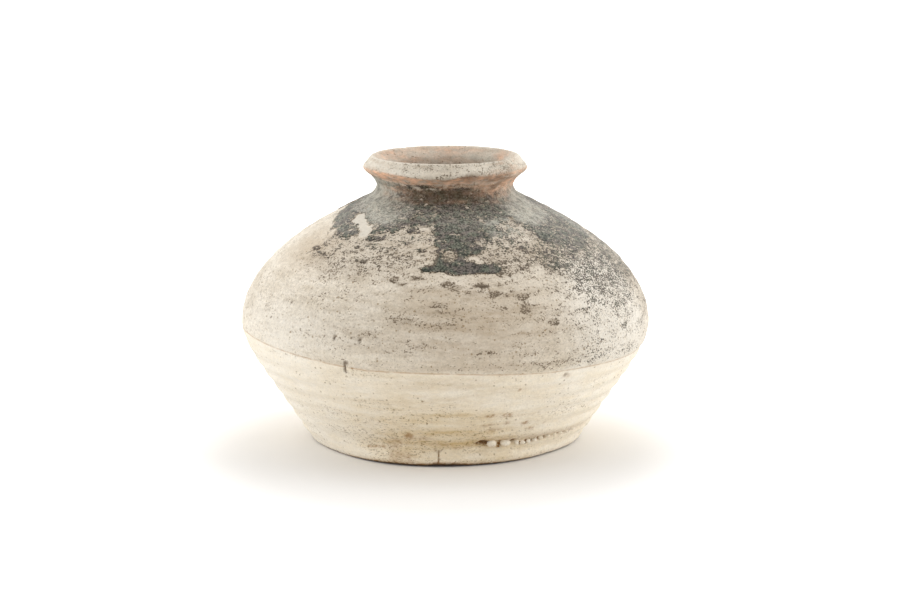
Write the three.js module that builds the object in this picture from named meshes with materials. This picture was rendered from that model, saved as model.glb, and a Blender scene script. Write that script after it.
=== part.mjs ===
// A squat wheel-thrown stoneware jar with a flat base, a wide shoulder and a short flared mouth.
// Its clay sections are stacked on flat joints and luted with slip: a base disc, a conical lower wall,
// a domed shoulder wall and a collar with an everted lip. What is left of its iron glaze lies on them:
// a coat over the neck and shoulder that ends in a ragged, running hem, and a film inside the mouth.
// Millimetres, +Z up. The origin is the middle of the base, and the front of the jar faces -Y.

import * as THREE from "three";

// Base disc.
const baseRadius = 41.3;
const baseThickness = 6.8;
const baseEdgeRound = 0.9;

// Wall, from the foot up to the widest place and over the shoulder to the collar.
const wallThickness = 5;
const bellyRadius = 63;
const bellyHeight = 36.5;
const footLean = 0.623; // millimetres outwards for each millimetre up, at the foot
const footHandle = 17.7; // how far up the wall keeps that lean
const bellyHandleBelow = 7.5;
const bellyHandleAbove = 16.5;
const shoulderRise = 39.8; // from the widest place up to the end of the shoulder's curve
const shoulderEndRadius = 21.8;
const shoulderSlope = 2.09; // millimetres inwards for each millimetre up, below the collar
const shoulderHandle = 10.75;

// Finger grooves left by throwing on the lower wall.
const groovePitch = 5.2;
const grooveDepth = 0.35;

// Collar: neck, everted lip and the funnel inside it.
const collarSeatDrop = 1.5; // from the end of the shoulder's curve down to the collar's joint
const neckRise = 2.8; // from the end of the shoulder's curve up to the narrowest place
const neckRadius = 21;
const lipFlareRise = 5.4;
const lipFlareHandle = 1;
const lipRadius = 25.6;
const lipEdgeRound = 0.9;
const crestRise = 4;
const crestRadius = 22.5;
const crestRound = 1.3;
const throatRadius = 16.5;
const funnelHandle = 4;

// Luting slip in the joints, and the glaze with its seat on the clay.
const slipThickness = 0.8;
const glazeSeat = 0.3;
const glazeThickness = 0.4;
const glazeHem = 11; // slope length from the collar's joint down to the hem between the runs
const mouthGlazeStart = 2; // slope length inside the crest where the film in the mouth begins

const glazeRunLength = 19.7; // slope length of the longest run below the hem

// Runs of glaze below the hem: where each is round the jar and its half width, in degrees, and its share of
// the longest run's length.
const glazeRuns = [
  { at: 5, halfWidth: 19, share: 1 },
  { at: 66, halfWidth: 36, share: 0.7 },
  { at: 142, halfWidth: 22, share: 0.4 },
  { at: 190, halfWidth: 26, share: 0.62 },
  { at: 240, halfWidth: 24, share: 0.3 },
  { at: 304, halfWidth: 28, share: 0.32 },
];

// How finely the round forms are cut into flat faces.
const turnSegments = 48;
const coatSegments = 90;

// Heights that follow from the sizes above.
const shoulderEndHeight = bellyHeight + shoulderRise;
const collarSeatHeight = shoulderEndHeight - collarSeatDrop;
const neckHeight = shoulderEndHeight + neckRise;
const lipEdgeHeight = neckHeight + lipFlareRise;
const jarHeight = lipEdgeHeight + crestRise;

const at = (radius, height) => new THREE.Vector2(radius, height);

// The outline of the wall is two curves that meet upright at the widest place.
const lowerCurve = new THREE.CubicBezierCurve(
  at(baseRadius, 0),
  at(baseRadius + footLean * footHandle, footHandle),
  at(bellyRadius, bellyHeight - bellyHandleBelow),
  at(bellyRadius, bellyHeight),
);
const shoulderCurve = new THREE.CubicBezierCurve(
  at(bellyRadius, bellyHeight),
  at(bellyRadius, bellyHeight + bellyHandleAbove),
  at(shoulderEndRadius + shoulderSlope * shoulderHandle, shoulderEndHeight - shoulderHandle),
  at(shoulderEndRadius, shoulderEndHeight),
);

// The point on a curve that runs upwards, moved outwards along its normal.
function pointBeside(curve, t, outwards) {
  const tangent = curve.getTangent(t);
  return curve.getPoint(t).add(at(tangent.y, -tangent.x).multiplyScalar(outwards));
}

// The radius at a height of a curve that climbs all the way, moved outwards along its normal.
function radiusOn(curve, height, outwards = 0) {
  let low = 0;
  let high = 1;
  for (let halving = 0; halving < 40; halving++) {
    const middle = (low + high) / 2;
    if (pointBeside(curve, middle, outwards).y < height) low = middle;
    else high = middle;
  }
  return pointBeside(curve, low, outwards).x;
}

// How far a finger groove cuts into the lower wall. The grooves die out towards the widest place.
function grooveAt(height) {
  const fade = THREE.MathUtils.clamp(1 - height / bellyHeight, 0, 1);
  return grooveDepth * fade * (1 - Math.cos((2 * Math.PI * height) / groovePitch)) / 2;
}

function outerRadius(height) {
  if (height > bellyHeight) return radiusOn(shoulderCurve, height);
  return radiusOn(lowerCurve, height) - grooveAt(height);
}

// The inside follows the outside at the wall's thickness, and ends in the upright throat.
function innerRadius(height) {
  if (height <= bellyHeight) return radiusOn(lowerCurve, height, -wallThickness);
  const end = pointBeside(shoulderCurve, 1, -wallThickness);
  const inside =
    height < end.y
      ? radiusOn(shoulderCurve, height, -wallThickness)
      : end.x - shoulderSlope * (height - end.y);
  return Math.max(throatRadius, inside);
}

// Points at even heights from one height to another, on one side of the wall.
function climb(radiusAt, from, to, steps) {
  return Array.from({ length: steps + 1 }, (_, i) => {
    const height = THREE.MathUtils.lerp(from, to, i / steps);
    return at(radiusAt(height), height);
  });
}

// A closed outline, turned once round the jar's axis.
function turned(outline) {
  return new THREE.LatheGeometry(outline, turnSegments).rotateX(Math.PI / 2);
}

function turnedRing(outline) {
  return turned([...outline, outline[0].clone()]);
}

// A section of the wall between two flat joints.
function wallSection(bottom, top, outerSteps, innerSteps) {
  return turnedRing([
    ...climb(outerRadius, bottom, top, outerSteps),
    ...climb(innerRadius, top, bottom, innerSteps),
  ]);
}

// A layer of slip centred on a joint, as wide as the wall there.
function slipRing(jointHeight) {
  return wallSection(jointHeight - slipThickness / 2, jointHeight + slipThickness / 2, 1, 1);
}

// The base disc has a softened lower edge and a flat top that the lower wall is luted to.
function baseDisc() {
  const top = baseThickness - slipThickness / 2;
  const edge = new THREE.QuadraticBezierCurve(
    at(baseRadius - baseEdgeRound, 0),
    at(baseRadius, 0),
    at(outerRadius(baseEdgeRound), baseEdgeRound),
  );
  return turned([
    at(0, 0),
    ...edge.getPoints(3),
    ...climb(outerRadius, baseEdgeRound, top, 4).slice(1),
    at(0, top),
  ]);
}

// The collar's curves: the hollow of the neck, the flare under the lip, and the funnel inside.
const collarBottom = collarSeatHeight + slipThickness / 2;
const collarFoot = at(outerRadius(collarBottom), collarBottom);
const neckCurve = new THREE.QuadraticBezierCurve(
  collarFoot,
  at(neckRadius, collarBottom + (collarFoot.x - neckRadius) / shoulderSlope),
  at(neckRadius, neckHeight),
);
const flareCurve = new THREE.QuadraticBezierCurve(
  at(neckRadius, neckHeight),
  at(neckRadius, neckHeight + lipFlareHandle),
  at(lipRadius, lipEdgeHeight),
);
const funnelCurve = new THREE.QuadraticBezierCurve(
  at(throatRadius, neckHeight),
  at(throatRadius, neckHeight + funnelHandle),
  at(crestRadius, jarHeight),
);

// A corner of an outline, rounded off by a curve that starts and ends a given distance from it.
function roundedCorner(before, corner, after, distance, steps) {
  const start = corner.clone().add(before.clone().sub(corner).setLength(distance));
  const end = corner.clone().add(after.clone().sub(corner).setLength(distance));
  return new THREE.QuadraticBezierCurve(start, corner, end).getPoints(steps);
}

function collar() {
  const lipEdge = at(lipRadius, lipEdgeHeight);
  const crest = at(crestRadius, jarHeight);
  const flare = flareCurve.getPoints(4).slice(0, -1);
  const funnel = funnelCurve.getPoints(5).slice(0, -1).reverse();
  return turnedRing([
    ...neckCurve.getPoints(4).slice(0, -1),
    ...flare,
    ...roundedCorner(flare.at(-1), lipEdge, crest, lipEdgeRound, 3),
    ...roundedCorner(lipEdge, crest, funnel[0], crestRound, 3),
    ...funnel,
    at(throatRadius, collarBottom),
  ]);
}

// The film inside the mouth: a thin liner from just inside the crest down to the collar's joint.
function mouthGlaze() {
  const length = funnelCurve.getLength();
  const start = 1 - mouthGlazeStart / length;
  const liner = (inwards) => [
    at(throatRadius - inwards, collarBottom),
    ...Array.from({ length: 5 }, (_, i) => {
      const t = funnelCurve.getUtoTmapping((start * i) / 4);
      return pointBeside(funnelCurve, t, -inwards);
    }),
  ];
  return turnedRing([...liner(glazeSeat), ...liner(glazeSeat + glazeThickness).reverse()]);
}

// The slope length of the coat below the collar's joint, at an angle round the jar.
function coatReach(degrees) {
  const shares = glazeRuns.map(({ at: middle, halfWidth, share }) => {
    const away = Math.abs(THREE.MathUtils.euclideanModulo(degrees - middle + 180, 360) - 180);
    return share * (1 - THREE.MathUtils.smootherstep(away / halfWidth, 0.35, 1));
  });
  return glazeHem + glazeRunLength * Math.max(...shares);
}

// One line of the coat from under the lip, down the neck and over the shoulder, at a distance from the clay.
function coatLine(reach, outwards) {
  const flareTop = 1 - (2 * lipEdgeRound) / flareCurve.getLength();
  const flareSteps = 3;
  const neckSteps = 3;
  const shoulderSteps = 6;
  const shoulderLength = shoulderCurve.getLength();
  const seatShare = 1 - (collarSeatDrop * Math.hypot(1, shoulderSlope)) / shoulderLength;
  const line = [];
  for (let i = 0; i < flareSteps; i++) {
    line.push(pointBeside(flareCurve, flareTop * (1 - i / flareSteps), outwards));
  }
  for (let i = 0; i < neckSteps; i++) {
    line.push(pointBeside(neckCurve, 1 - i / neckSteps, outwards));
  }
  for (let i = 0; i <= shoulderSteps; i++) {
    const share = seatShare - (reach * i) / shoulderSteps / shoulderLength;
    line.push(pointBeside(shoulderCurve, shoulderCurve.getUtoTmapping(share), outwards));
  }
  return line;
}

// The coat is a closed shell: its lines run down the outside and back up the inside, all round the jar.
function glazeCoat() {
  const positions = [];
  const indices = [];
  let loop = 0;
  for (let column = 0; column < coatSegments; column++) {
    const degrees = (360 * column) / coatSegments;
    const angle = THREE.MathUtils.degToRad(degrees);
    const reach = coatReach(degrees);
    const section = [
      ...coatLine(reach, glazeSeat + glazeThickness),
      ...coatLine(reach, glazeSeat).reverse(),
    ];
    loop = section.length;
    for (const p of section) positions.push(p.x * Math.sin(angle), -p.x * Math.cos(angle), p.y);
  }
  for (let column = 0; column < coatSegments; column++) {
    const next = (column + 1) % coatSegments;
    for (let row = 0; row < loop; row++) {
      const below = (row + 1) % loop;
      const [a, b] = [column * loop + row, next * loop + row];
      const [c, d] = [column * loop + below, next * loop + below];
      indices.push(a, c, b, b, c, d);
    }
  }
  return new THREE.BufferGeometry()
    .setAttribute("position", new THREE.Float32BufferAttribute(positions, 3))
    .setIndex(indices);
}

// Finishes, as they are today: bare clay, slip burnt to orange-buff, weathered iron glaze, and the mouth's film.
const clay = new THREE.MeshStandardMaterial({ color: 0xe0d3ba, roughness: 0.92, metalness: 0 });
const slip = new THREE.MeshStandardMaterial({ color: 0xcbb190, roughness: 0.95, metalness: 0 });
const darkGlaze = new THREE.MeshStandardMaterial({ color: 0x5d5a54, roughness: 0.7, metalness: 0 });
const rustGlaze = new THREE.MeshStandardMaterial({ color: 0xb98a6b, roughness: 0.75, metalness: 0 });

const jar = new THREE.Group();

function addPiece(name, geometry, material) {
  const piece = new THREE.Mesh(geometry, material);
  piece.name = name;
  jar.add(piece);
}

const halfSlip = slipThickness / 2;
addPiece("base_disc", baseDisc(), clay);
addPiece("base_slip", slipRing(baseThickness), slip);
addPiece("lower_wall", wallSection(baseThickness + halfSlip, bellyHeight - halfSlip, 18, 5), clay);
addPiece("belly_slip", slipRing(bellyHeight), slip);
addPiece("shoulder_wall", wallSection(bellyHeight + halfSlip, collarSeatHeight - halfSlip, 10, 8), clay);
addPiece("collar_slip", slipRing(collarSeatHeight), slip);
addPiece("neck_collar", collar(), clay);
addPiece("glaze_coat", glazeCoat(), darkGlaze);
addPiece("mouth_glaze", mouthGlaze(), rustGlaze);

export default jar;
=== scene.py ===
"""Looks of the glazed jar: its clay sections, luting slip and worn glaze, turned, weathered and dressed."""

import logging
import math
from dataclasses import dataclass
from enum import Enum
from typing import NamedTuple, Sequence

import bmesh
import bpy
import numpy as np
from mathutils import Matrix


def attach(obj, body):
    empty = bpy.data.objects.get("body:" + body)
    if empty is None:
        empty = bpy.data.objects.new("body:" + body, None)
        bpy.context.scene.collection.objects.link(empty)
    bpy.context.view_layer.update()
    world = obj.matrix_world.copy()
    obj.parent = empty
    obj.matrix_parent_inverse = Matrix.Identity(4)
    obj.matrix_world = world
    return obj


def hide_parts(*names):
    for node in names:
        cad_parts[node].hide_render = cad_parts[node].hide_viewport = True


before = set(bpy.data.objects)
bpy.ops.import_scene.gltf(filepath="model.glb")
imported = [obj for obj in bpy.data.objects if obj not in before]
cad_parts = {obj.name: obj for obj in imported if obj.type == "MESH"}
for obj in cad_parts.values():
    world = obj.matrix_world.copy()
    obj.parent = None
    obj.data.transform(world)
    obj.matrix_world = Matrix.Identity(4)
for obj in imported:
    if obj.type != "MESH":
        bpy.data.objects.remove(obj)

MM = 0.001
MERGE_DISTANCE = 0.002 * MM
LOWER_STEPS, UPPER_STEPS, COLLAR_STEPS = 400, 600, 60
LOG = logging.getLogger("glazed_jar")
Socket = bpy.types.NodeSocket
Piece = bpy.types.Object
Colour = tuple[float, float, float, float]
WHITE: Colour = (1.0, 1.0, 1.0, 1.0)


class Trace(str, Enum):
    """What wear and firing left on the surface, and painted shade, one point attribute each."""

    ABOVE_DIP = "above_dip_line"
    COVER = "glaze_cover"
    FILM = "grey_film"
    RUST = "rust_brown"
    SPECKS = "speck_density"
    # Dirt stain, with a brown band painted along the heel as shade.
    STAIN = "soil_stain_and_painted_shade"
    CHIP = "flaked_chip"
    # Soot and dark brown in cracks and pits, and painted shade along the heel, in the notches and down the
    # throat.
    DARK = "soot_soil_and_painted_shade"
    # Tan of the fired clay, partly painted shade on the front of the foot and the upper left.
    TAN = "tan_and_painted_shade"
    BLOOM = "white_bloom"
    BROWN = "brown_wear"


def srgb(red: int, green: int, blue: int) -> Colour:
    """Turns a colour of 0 to 255 a channel into the linear colour that a shader takes.

    Args:
        red: Red channel.
        green: Green channel.
        blue: Blue channel.

    Returns:
        Linear red, green, blue and an alpha of 1.
    """
    parts = [c / 255.0 for c in (red, green, blue)]
    linear = [p / 12.92 if p <= 0.04045 else ((p + 0.055) / 1.055) ** 2.4 for p in parts]
    return (linear[0], linear[1], linear[2], 1.0)


def bezier(points: Sequence[tuple[float, float]], steps: int) -> np.ndarray:
    """Samples a quadratic or cubic curve.

    Args:
        points: Three or four control points, as radius and height.
        steps: Number of stretches.

    Returns:
        Array of points along the curve.
    """
    t = np.linspace(0.0, 1.0, steps + 1)[:, None]
    rows = [np.array(p, dtype=float) * np.ones_like(t) for p in points]
    while len(rows) > 1:
        rows = [a * (1 - t) + b * t for a, b in zip(rows, rows[1:])]
    return rows[0]


def evenly(points: np.ndarray, step: float) -> np.ndarray:
    """Spaces the points of an outline evenly.

    Args:
        points: Outline as radius and height in millimetres.
        step: Wanted distance between points.

    Returns:
        The outline with even spacing and the same ends.
    """
    lengths = np.r_[0.0, np.cumsum(np.hypot(*np.diff(points, axis=0).T))]
    count = max(1, round(lengths[-1] / step))
    wanted = np.linspace(0.0, lengths[-1], count + 1)
    return np.c_[np.interp(wanted, lengths, points[:, 0]), np.interp(wanted, lengths, points[:, 1])]


def smooth(value: np.ndarray, low: float, high: float) -> np.ndarray:
    """Eases a value from 0 at low to 1 at high.

    Args:
        value: Values to ease.
        low: Where the result is 0.
        high: Where the result is 1.

    Returns:
        Eased values from 0 to 1.
    """
    t = np.clip((value - low) / (high - low), 0.0, 1.0)
    return t * t * (3 - 2 * t)


def fade(value: np.ndarray, low: float, high: float) -> np.ndarray:
    """Eases a value from 1 at low to 0 at high."""
    return 1.0 - smooth(value, low, high)


def bump_at(value: np.ndarray, middle: float, half_width: float) -> np.ndarray:
    """A smooth bump of height 1 round a value, zero beyond its half width."""
    return fade(np.abs(value - middle), 0.0, half_width)


def bumps(value: np.ndarray, rows: Sequence[tuple[float, float, float]]) -> np.ndarray:
    """Adds up smooth bumps, given as their heights, middles and half widths."""
    return sum(amount * bump_at(value, middle, half_width) for amount, middle, half_width in rows)


def angle_from(turn: np.ndarray, middle: float) -> np.ndarray:
    """Angles counted from a middle one, from -180 to 180 degrees."""
    return (turn - middle + 180.0) % 360.0 - 180.0


class Unevenness:
    """Smooth repeatable noise that closes on itself round the jar."""

    SIZE = 256
    OCTAVE_SHIFT = 37.0
    OCTAVE_TOTAL = 1.5

    def __init__(self, seed: int) -> None:
        """Fills the lattice from a fixed seed."""
        self._lattice = np.random.default_rng(seed).random((self.SIZE, self.SIZE)) * 2.0 - 1.0

    def at(self, turn: np.ndarray, along: np.ndarray, cells: int, height: float) -> np.ndarray:
        """Reads the noise on the surface.

        Args:
            turn: Angle round the jar in degrees.
            along: Distance along the slope in millimetres.
            cells: Number of lattice cells round the jar.
            height: Height of a lattice cell in millimetres.

        Returns:
            Values from -1 to 1.
        """
        u, v = (turn / 360.0 % 1.0) * cells, along / height
        i, j = np.floor(u).astype(int), np.floor(v).astype(int)
        a, b = smooth(u - i, 0.0, 1.0), smooth(v - j, 0.0, 1.0)

        def corner(right: int, up: int) -> np.ndarray:
            """Lattice value at one corner of each point's cell."""
            return self._lattice[((i + right) % cells) % self.SIZE, (j + up) % self.SIZE]

        low = corner(0, 0) * (1 - a) + corner(1, 0) * a
        high = corner(0, 1) * (1 - a) + corner(1, 1) * a
        return low * (1 - b) + high * b

    def rough(
        self, turn: np.ndarray, along: np.ndarray, cells: int, height: float, octaves: int
    ) -> np.ndarray:
        """Adds finer and fainter copies of the noise.

        Args:
            turn: Angle round the jar in degrees.
            along: Distance along the slope in millimetres.
            cells: Number of lattice cells round the jar of the coarsest copy.
            height: Height of its cells in millimetres.
            octaves: Number of copies.

        Returns:
            Values from about -1 to 1.
        """
        total = np.zeros_like(turn)
        for k in range(octaves):
            total += self.at(turn, along + self.OCTAVE_SHIFT * k, cells * 2**k, height / 2**k) / 2**k
        return total / self.OCTAVE_TOTAL


@dataclass(frozen=True)
class JarOutline:
    """Sizes of the jar in millimetres, the same as those of its solids."""

    base_radius: float = 41.3
    base_thickness: float = 6.8
    base_edge_round: float = 0.9
    wall_thickness: float = 5.0
    belly_radius: float = 63.0
    belly_height: float = 36.5
    foot_lean: float = 0.623
    foot_handle: float = 17.7
    belly_handle_below: float = 7.5
    belly_handle_above: float = 16.5
    shoulder_rise: float = 39.8
    shoulder_end_radius: float = 21.8
    shoulder_slope: float = 2.09
    shoulder_handle: float = 10.75
    collar_seat_drop: float = 1.5
    neck_rise: float = 2.8
    neck_radius: float = 21.0
    lip_flare_rise: float = 5.4
    lip_flare_handle: float = 1.0
    lip_radius: float = 25.6
    lip_edge_round: float = 0.9
    crest_rise: float = 4.0
    crest_radius: float = 22.5
    crest_round: float = 1.3
    throat_radius: float = 16.5
    funnel_handle: float = 4.0
    slip_thickness: float = 0.8

    @property
    def shoulder_end_height(self) -> float:
        """Height of the end of the shoulder's curve."""
        return self.belly_height + self.shoulder_rise

    @property
    def collar_seat(self) -> float:
        """Height of the collar's joint."""
        return self.shoulder_end_height - self.collar_seat_drop

    @property
    def collar_foot(self) -> float:
        """Height of the collar's lower face, above the slip."""
        return self.collar_seat + self.slip_thickness / 2

    @property
    def neck_height(self) -> float:
        """Height of the narrowest place."""
        return self.shoulder_end_height + self.neck_rise

    @property
    def lip_edge_height(self) -> float:
        """Height of the lip's outer edge."""
        return self.neck_height + self.lip_flare_rise

    @property
    def height(self) -> float:
        """Height of the crest before it is rounded."""
        return self.lip_edge_height + self.crest_rise

    @property
    def bevel_length(self) -> float:
        """Length of the lip's bevelled face."""
        return math.hypot(self.lip_radius - self.crest_radius, self.crest_rise)

    def wall(self) -> np.ndarray:
        """Draws the outside of the wall from the foot to the end of the shoulder.

        Returns:
            Radius and height of each point in millimetres.
        """
        end = self.shoulder_end_height
        slope_start = self.shoulder_end_radius + self.shoulder_slope * self.shoulder_handle
        low = bezier(
            [
                (self.base_radius, 0.0),
                (self.base_radius + self.foot_lean * self.foot_handle, self.foot_handle),
                (self.belly_radius, self.belly_height - self.belly_handle_below),
                (self.belly_radius, self.belly_height),
            ],
            LOWER_STEPS,
        )
        high = bezier(
            [
                (self.belly_radius, self.belly_height),
                (self.belly_radius, self.belly_height + self.belly_handle_above),
                (slope_start, end - self.shoulder_handle),
                (self.shoulder_end_radius, end),
            ],
            UPPER_STEPS,
        )
        return np.vstack([low, high[1:]])

    def hollow(self) -> np.ndarray:
        """Draws the inside of the wall, at the wall's thickness from the outside, and the throat above it.

        Returns:
            Radius and height of each point in millimetres.
        """
        wall = self.wall()
        way = np.gradient(wall, axis=0)
        way /= np.hypot(*way.T)[:, None]
        inside = wall - self.wall_thickness * np.c_[way[:, 1], -way[:, 0]]
        rise = (inside[-1, 0] - self.throat_radius) / self.shoulder_slope
        throat = [[self.throat_radius, inside[-1, 1] + rise], [self.throat_radius, self.height]]
        return np.vstack([inside, throat])

    def outer(self, height: float) -> float:
        """Radius of the outside of the wall at a height."""
        wall = self.wall()
        return float(np.interp(height, wall[:, 1], wall[:, 0]))

    def between(self, curve: np.ndarray, low: float, high: float) -> np.ndarray:
        """Cuts a climbing curve at two heights.

        Args:
            curve: Curve as radius and height.
            low: Lower height.
            high: Upper height.

        Returns:
            The stretch of the curve between them, ends included.
        """
        kept = curve[(curve[:, 1] > low) & (curve[:, 1] < high)]
        ends = [[float(np.interp(z, curve[:, 1], curve[:, 0])), z] for z in (low, high)]
        return np.vstack([[ends[0]], kept, [ends[1]]])

    def collar_outside(self) -> np.ndarray:
        """Draws the outside of the collar from its joint up to the lip's edge.

        Returns:
            Radius and height of each point in millimetres.
        """
        foot = self.collar_foot
        radius = self.outer(foot)
        neck = bezier(
            [
                (radius, foot),
                (self.neck_radius, foot + (radius - self.neck_radius) / self.shoulder_slope),
                (self.neck_radius, self.neck_height),
            ],
            COLLAR_STEPS,
        )
        flare = bezier(
            [
                (self.neck_radius, self.neck_height),
                (self.neck_radius, self.neck_height + self.lip_flare_handle),
                (self.lip_radius, self.lip_edge_height),
            ],
            COLLAR_STEPS,
        )
        return np.vstack([neck, flare[1:]])

    def collar_inside(self) -> np.ndarray:
        """Draws the inside of the collar from the crest down to its joint.

        Returns:
            Radius and height of each point in millimetres.
        """
        funnel = bezier(
            [
                (self.crest_radius, self.height),
                (self.throat_radius, self.neck_height + self.funnel_handle),
                (self.throat_radius, self.neck_height),
            ],
            COLLAR_STEPS,
        )
        return np.vstack([funnel, [self.throat_radius, self.collar_foot]])

    def climb(self) -> np.ndarray:
        """The whole outside from the foot to the crest."""
        wall = self.between(self.wall(), 0.0, self.collar_seat)
        return np.vstack([wall, self.collar_outside(), [self.crest_radius, self.height]])

    def drop(self, height: np.ndarray) -> np.ndarray:
        """Measures the slope down from the collar's joint to points on the outside.

        Args:
            height: Heights in millimetres.

        Returns:
            Slope lengths in millimetres, negative on the collar.
        """
        climb = self.climb()
        lengths = np.r_[0.0, np.cumsum(np.hypot(*np.diff(climb, axis=0).T))]
        return np.interp(self.collar_seat, climb[:, 1], lengths) - np.interp(height, climb[:, 1], lengths)

    def facing(self, height: np.ndarray) -> tuple[np.ndarray, np.ndarray]:
        """Which way the outside faces at heights.

        Args:
            height: Heights in millimetres.

        Returns:
            Outward and upward parts of the unit normal.
        """
        climb = self.climb()
        way = np.gradient(climb, axis=0)
        way /= np.hypot(*way.T)[:, None]
        return np.interp(height, climb[:, 1], way[:, 1]), -np.interp(height, climb[:, 1], way[:, 0])

    def collar_middle(self, height: np.ndarray) -> np.ndarray:
        """Finds the middle of the collar's wall.

        Args:
            height: Heights in millimetres.

        Returns:
            Radii halfway between its outside and its inside.
        """
        climb, inside = self.climb(), self.collar_inside()[::-1]
        outer = np.interp(height, climb[:, 1], climb[:, 0])
        return (outer + np.interp(height, inside[:, 1], inside[:, 0])) / 2


JAR = JarOutline()


@dataclass(frozen=True)
class Patch:
    """A place with its own outline, as angles round the jar and slope lengths below the collar's joint."""

    outline: tuple[tuple[float, float], ...]
    amount: float
    edge: float
    ragged: float = 1.0

    JOINT_RADIUS = 25.0
    SPREAD = 0.88
    LEAST_DROP = -3.0

    def degree_width(self, drop: float) -> float:
        """Roughly how many millimetres a degree spans on the shoulder, at a slope length below the joint."""
        return np.radians(1.0) * (self.JOINT_RADIUS + self.SPREAD * max(drop, self.LEAST_DROP))

    def amount_at(self, turn: np.ndarray, drop: np.ndarray, uneven: np.ndarray) -> np.ndarray:
        """How much of the patch there is at points on the jar.

        Args:
            turn: Angles round the jar in degrees.
            drop: Slope lengths below the collar's joint in millimetres.
            uneven: Noise that frays the patch's edge.

        Returns:
            The patch's amount inside it, easing to 0 outside.
        """
        points = np.array(self.outline, dtype=float)
        middle = points.mean(axis=0)
        scale = self.degree_width(middle[1])
        x = angle_from(turn, middle[0]) * scale
        px, py = (points[:, 0] - middle[0]) * scale, points[:, 1]
        nearest = np.full_like(x, 1e9)
        inside = np.zeros(x.shape, dtype=bool)
        for ax, ay, bx, by in zip(px, py, np.roll(px, -1), np.roll(py, -1)):
            ex, ey = bx - ax, by - ay
            t = np.clip(((x - ax) * ex + (drop - ay) * ey) / (ex * ex + ey * ey), 0.0, 1.0)
            nearest = np.minimum(nearest, np.hypot(x - ax - t * ex, drop - ay - t * ey))
            crosses = (ay > drop) != (by > drop)
            with np.errstate(divide="ignore", invalid="ignore"):
                inside ^= crosses & (x < ax + ex * (drop - ay) / (ey if ey != 0 else 1e-9))
        depth = np.where(inside, nearest, -nearest) + self.ragged * uneven
        return self.amount * smooth(depth, -self.edge, self.edge)


@dataclass(frozen=True)
class Spot:
    """A small island or pit: its angle, slope length below the joint, and half sizes in millimetres."""

    turn: float
    drop: float
    wide: float
    high: float
    amount: float

    FRAY = 0.85
    EDGE = (0.45, 1.15)

    def amount_at(
        self, turn: np.ndarray, drop: np.ndarray, radius: np.ndarray, uneven: np.ndarray
    ) -> np.ndarray:
        """How much of the spot there is at points on the jar.

        Args:
            turn: Angles round the jar in degrees.
            drop: Slope lengths below the collar's joint in millimetres.
            radius: Distances from the axis in millimetres.
            uneven: Noise that makes the spot irregular.

        Returns:
            The spot's amount at its middle, easing to 0 at its edge.
        """
        x = np.radians(angle_from(turn, self.turn)) * radius
        away = np.hypot(x / self.wide, (drop - self.drop) / self.high) + self.FRAY * uneven
        return self.amount * fade(away, *self.EDGE)


def spot_rows(*rows: tuple[float, float, float, float, float]) -> tuple[Spot, ...]:
    """Makes spots of rows of their values."""
    return tuple(Spot(*row) for row in rows)


def strongest(marks: Sequence[Patch | Spot], *where: np.ndarray) -> np.ndarray:
    """The largest amount of any of several patches or spots, at points given as to each of them."""
    return np.maximum.reduce([mark.amount_at(*where) for mark in marks])


class Places(NamedTuple):
    """Points on the jar: angles in degrees, heights, slope lengths below the collar's joint, and radii."""

    turn: np.ndarray
    height: np.ndarray
    drop: np.ndarray
    radius: np.ndarray

    @classmethod
    def on(cls, piece: Piece) -> "Places":
        """Reads where the vertices of a turned piece lie.

        Args:
            piece: Turned piece.

        Returns:
            Their places, with radii of at least a millimetre.
        """
        points = points_of(piece)
        turn = np.degrees(np.arctan2(points[:, 0], -points[:, 1]))
        height = points[:, 2].copy()
        return cls(turn, height, JAR.drop(height), np.maximum(np.hypot(points[:, 0], points[:, 1]), 1.0))


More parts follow.
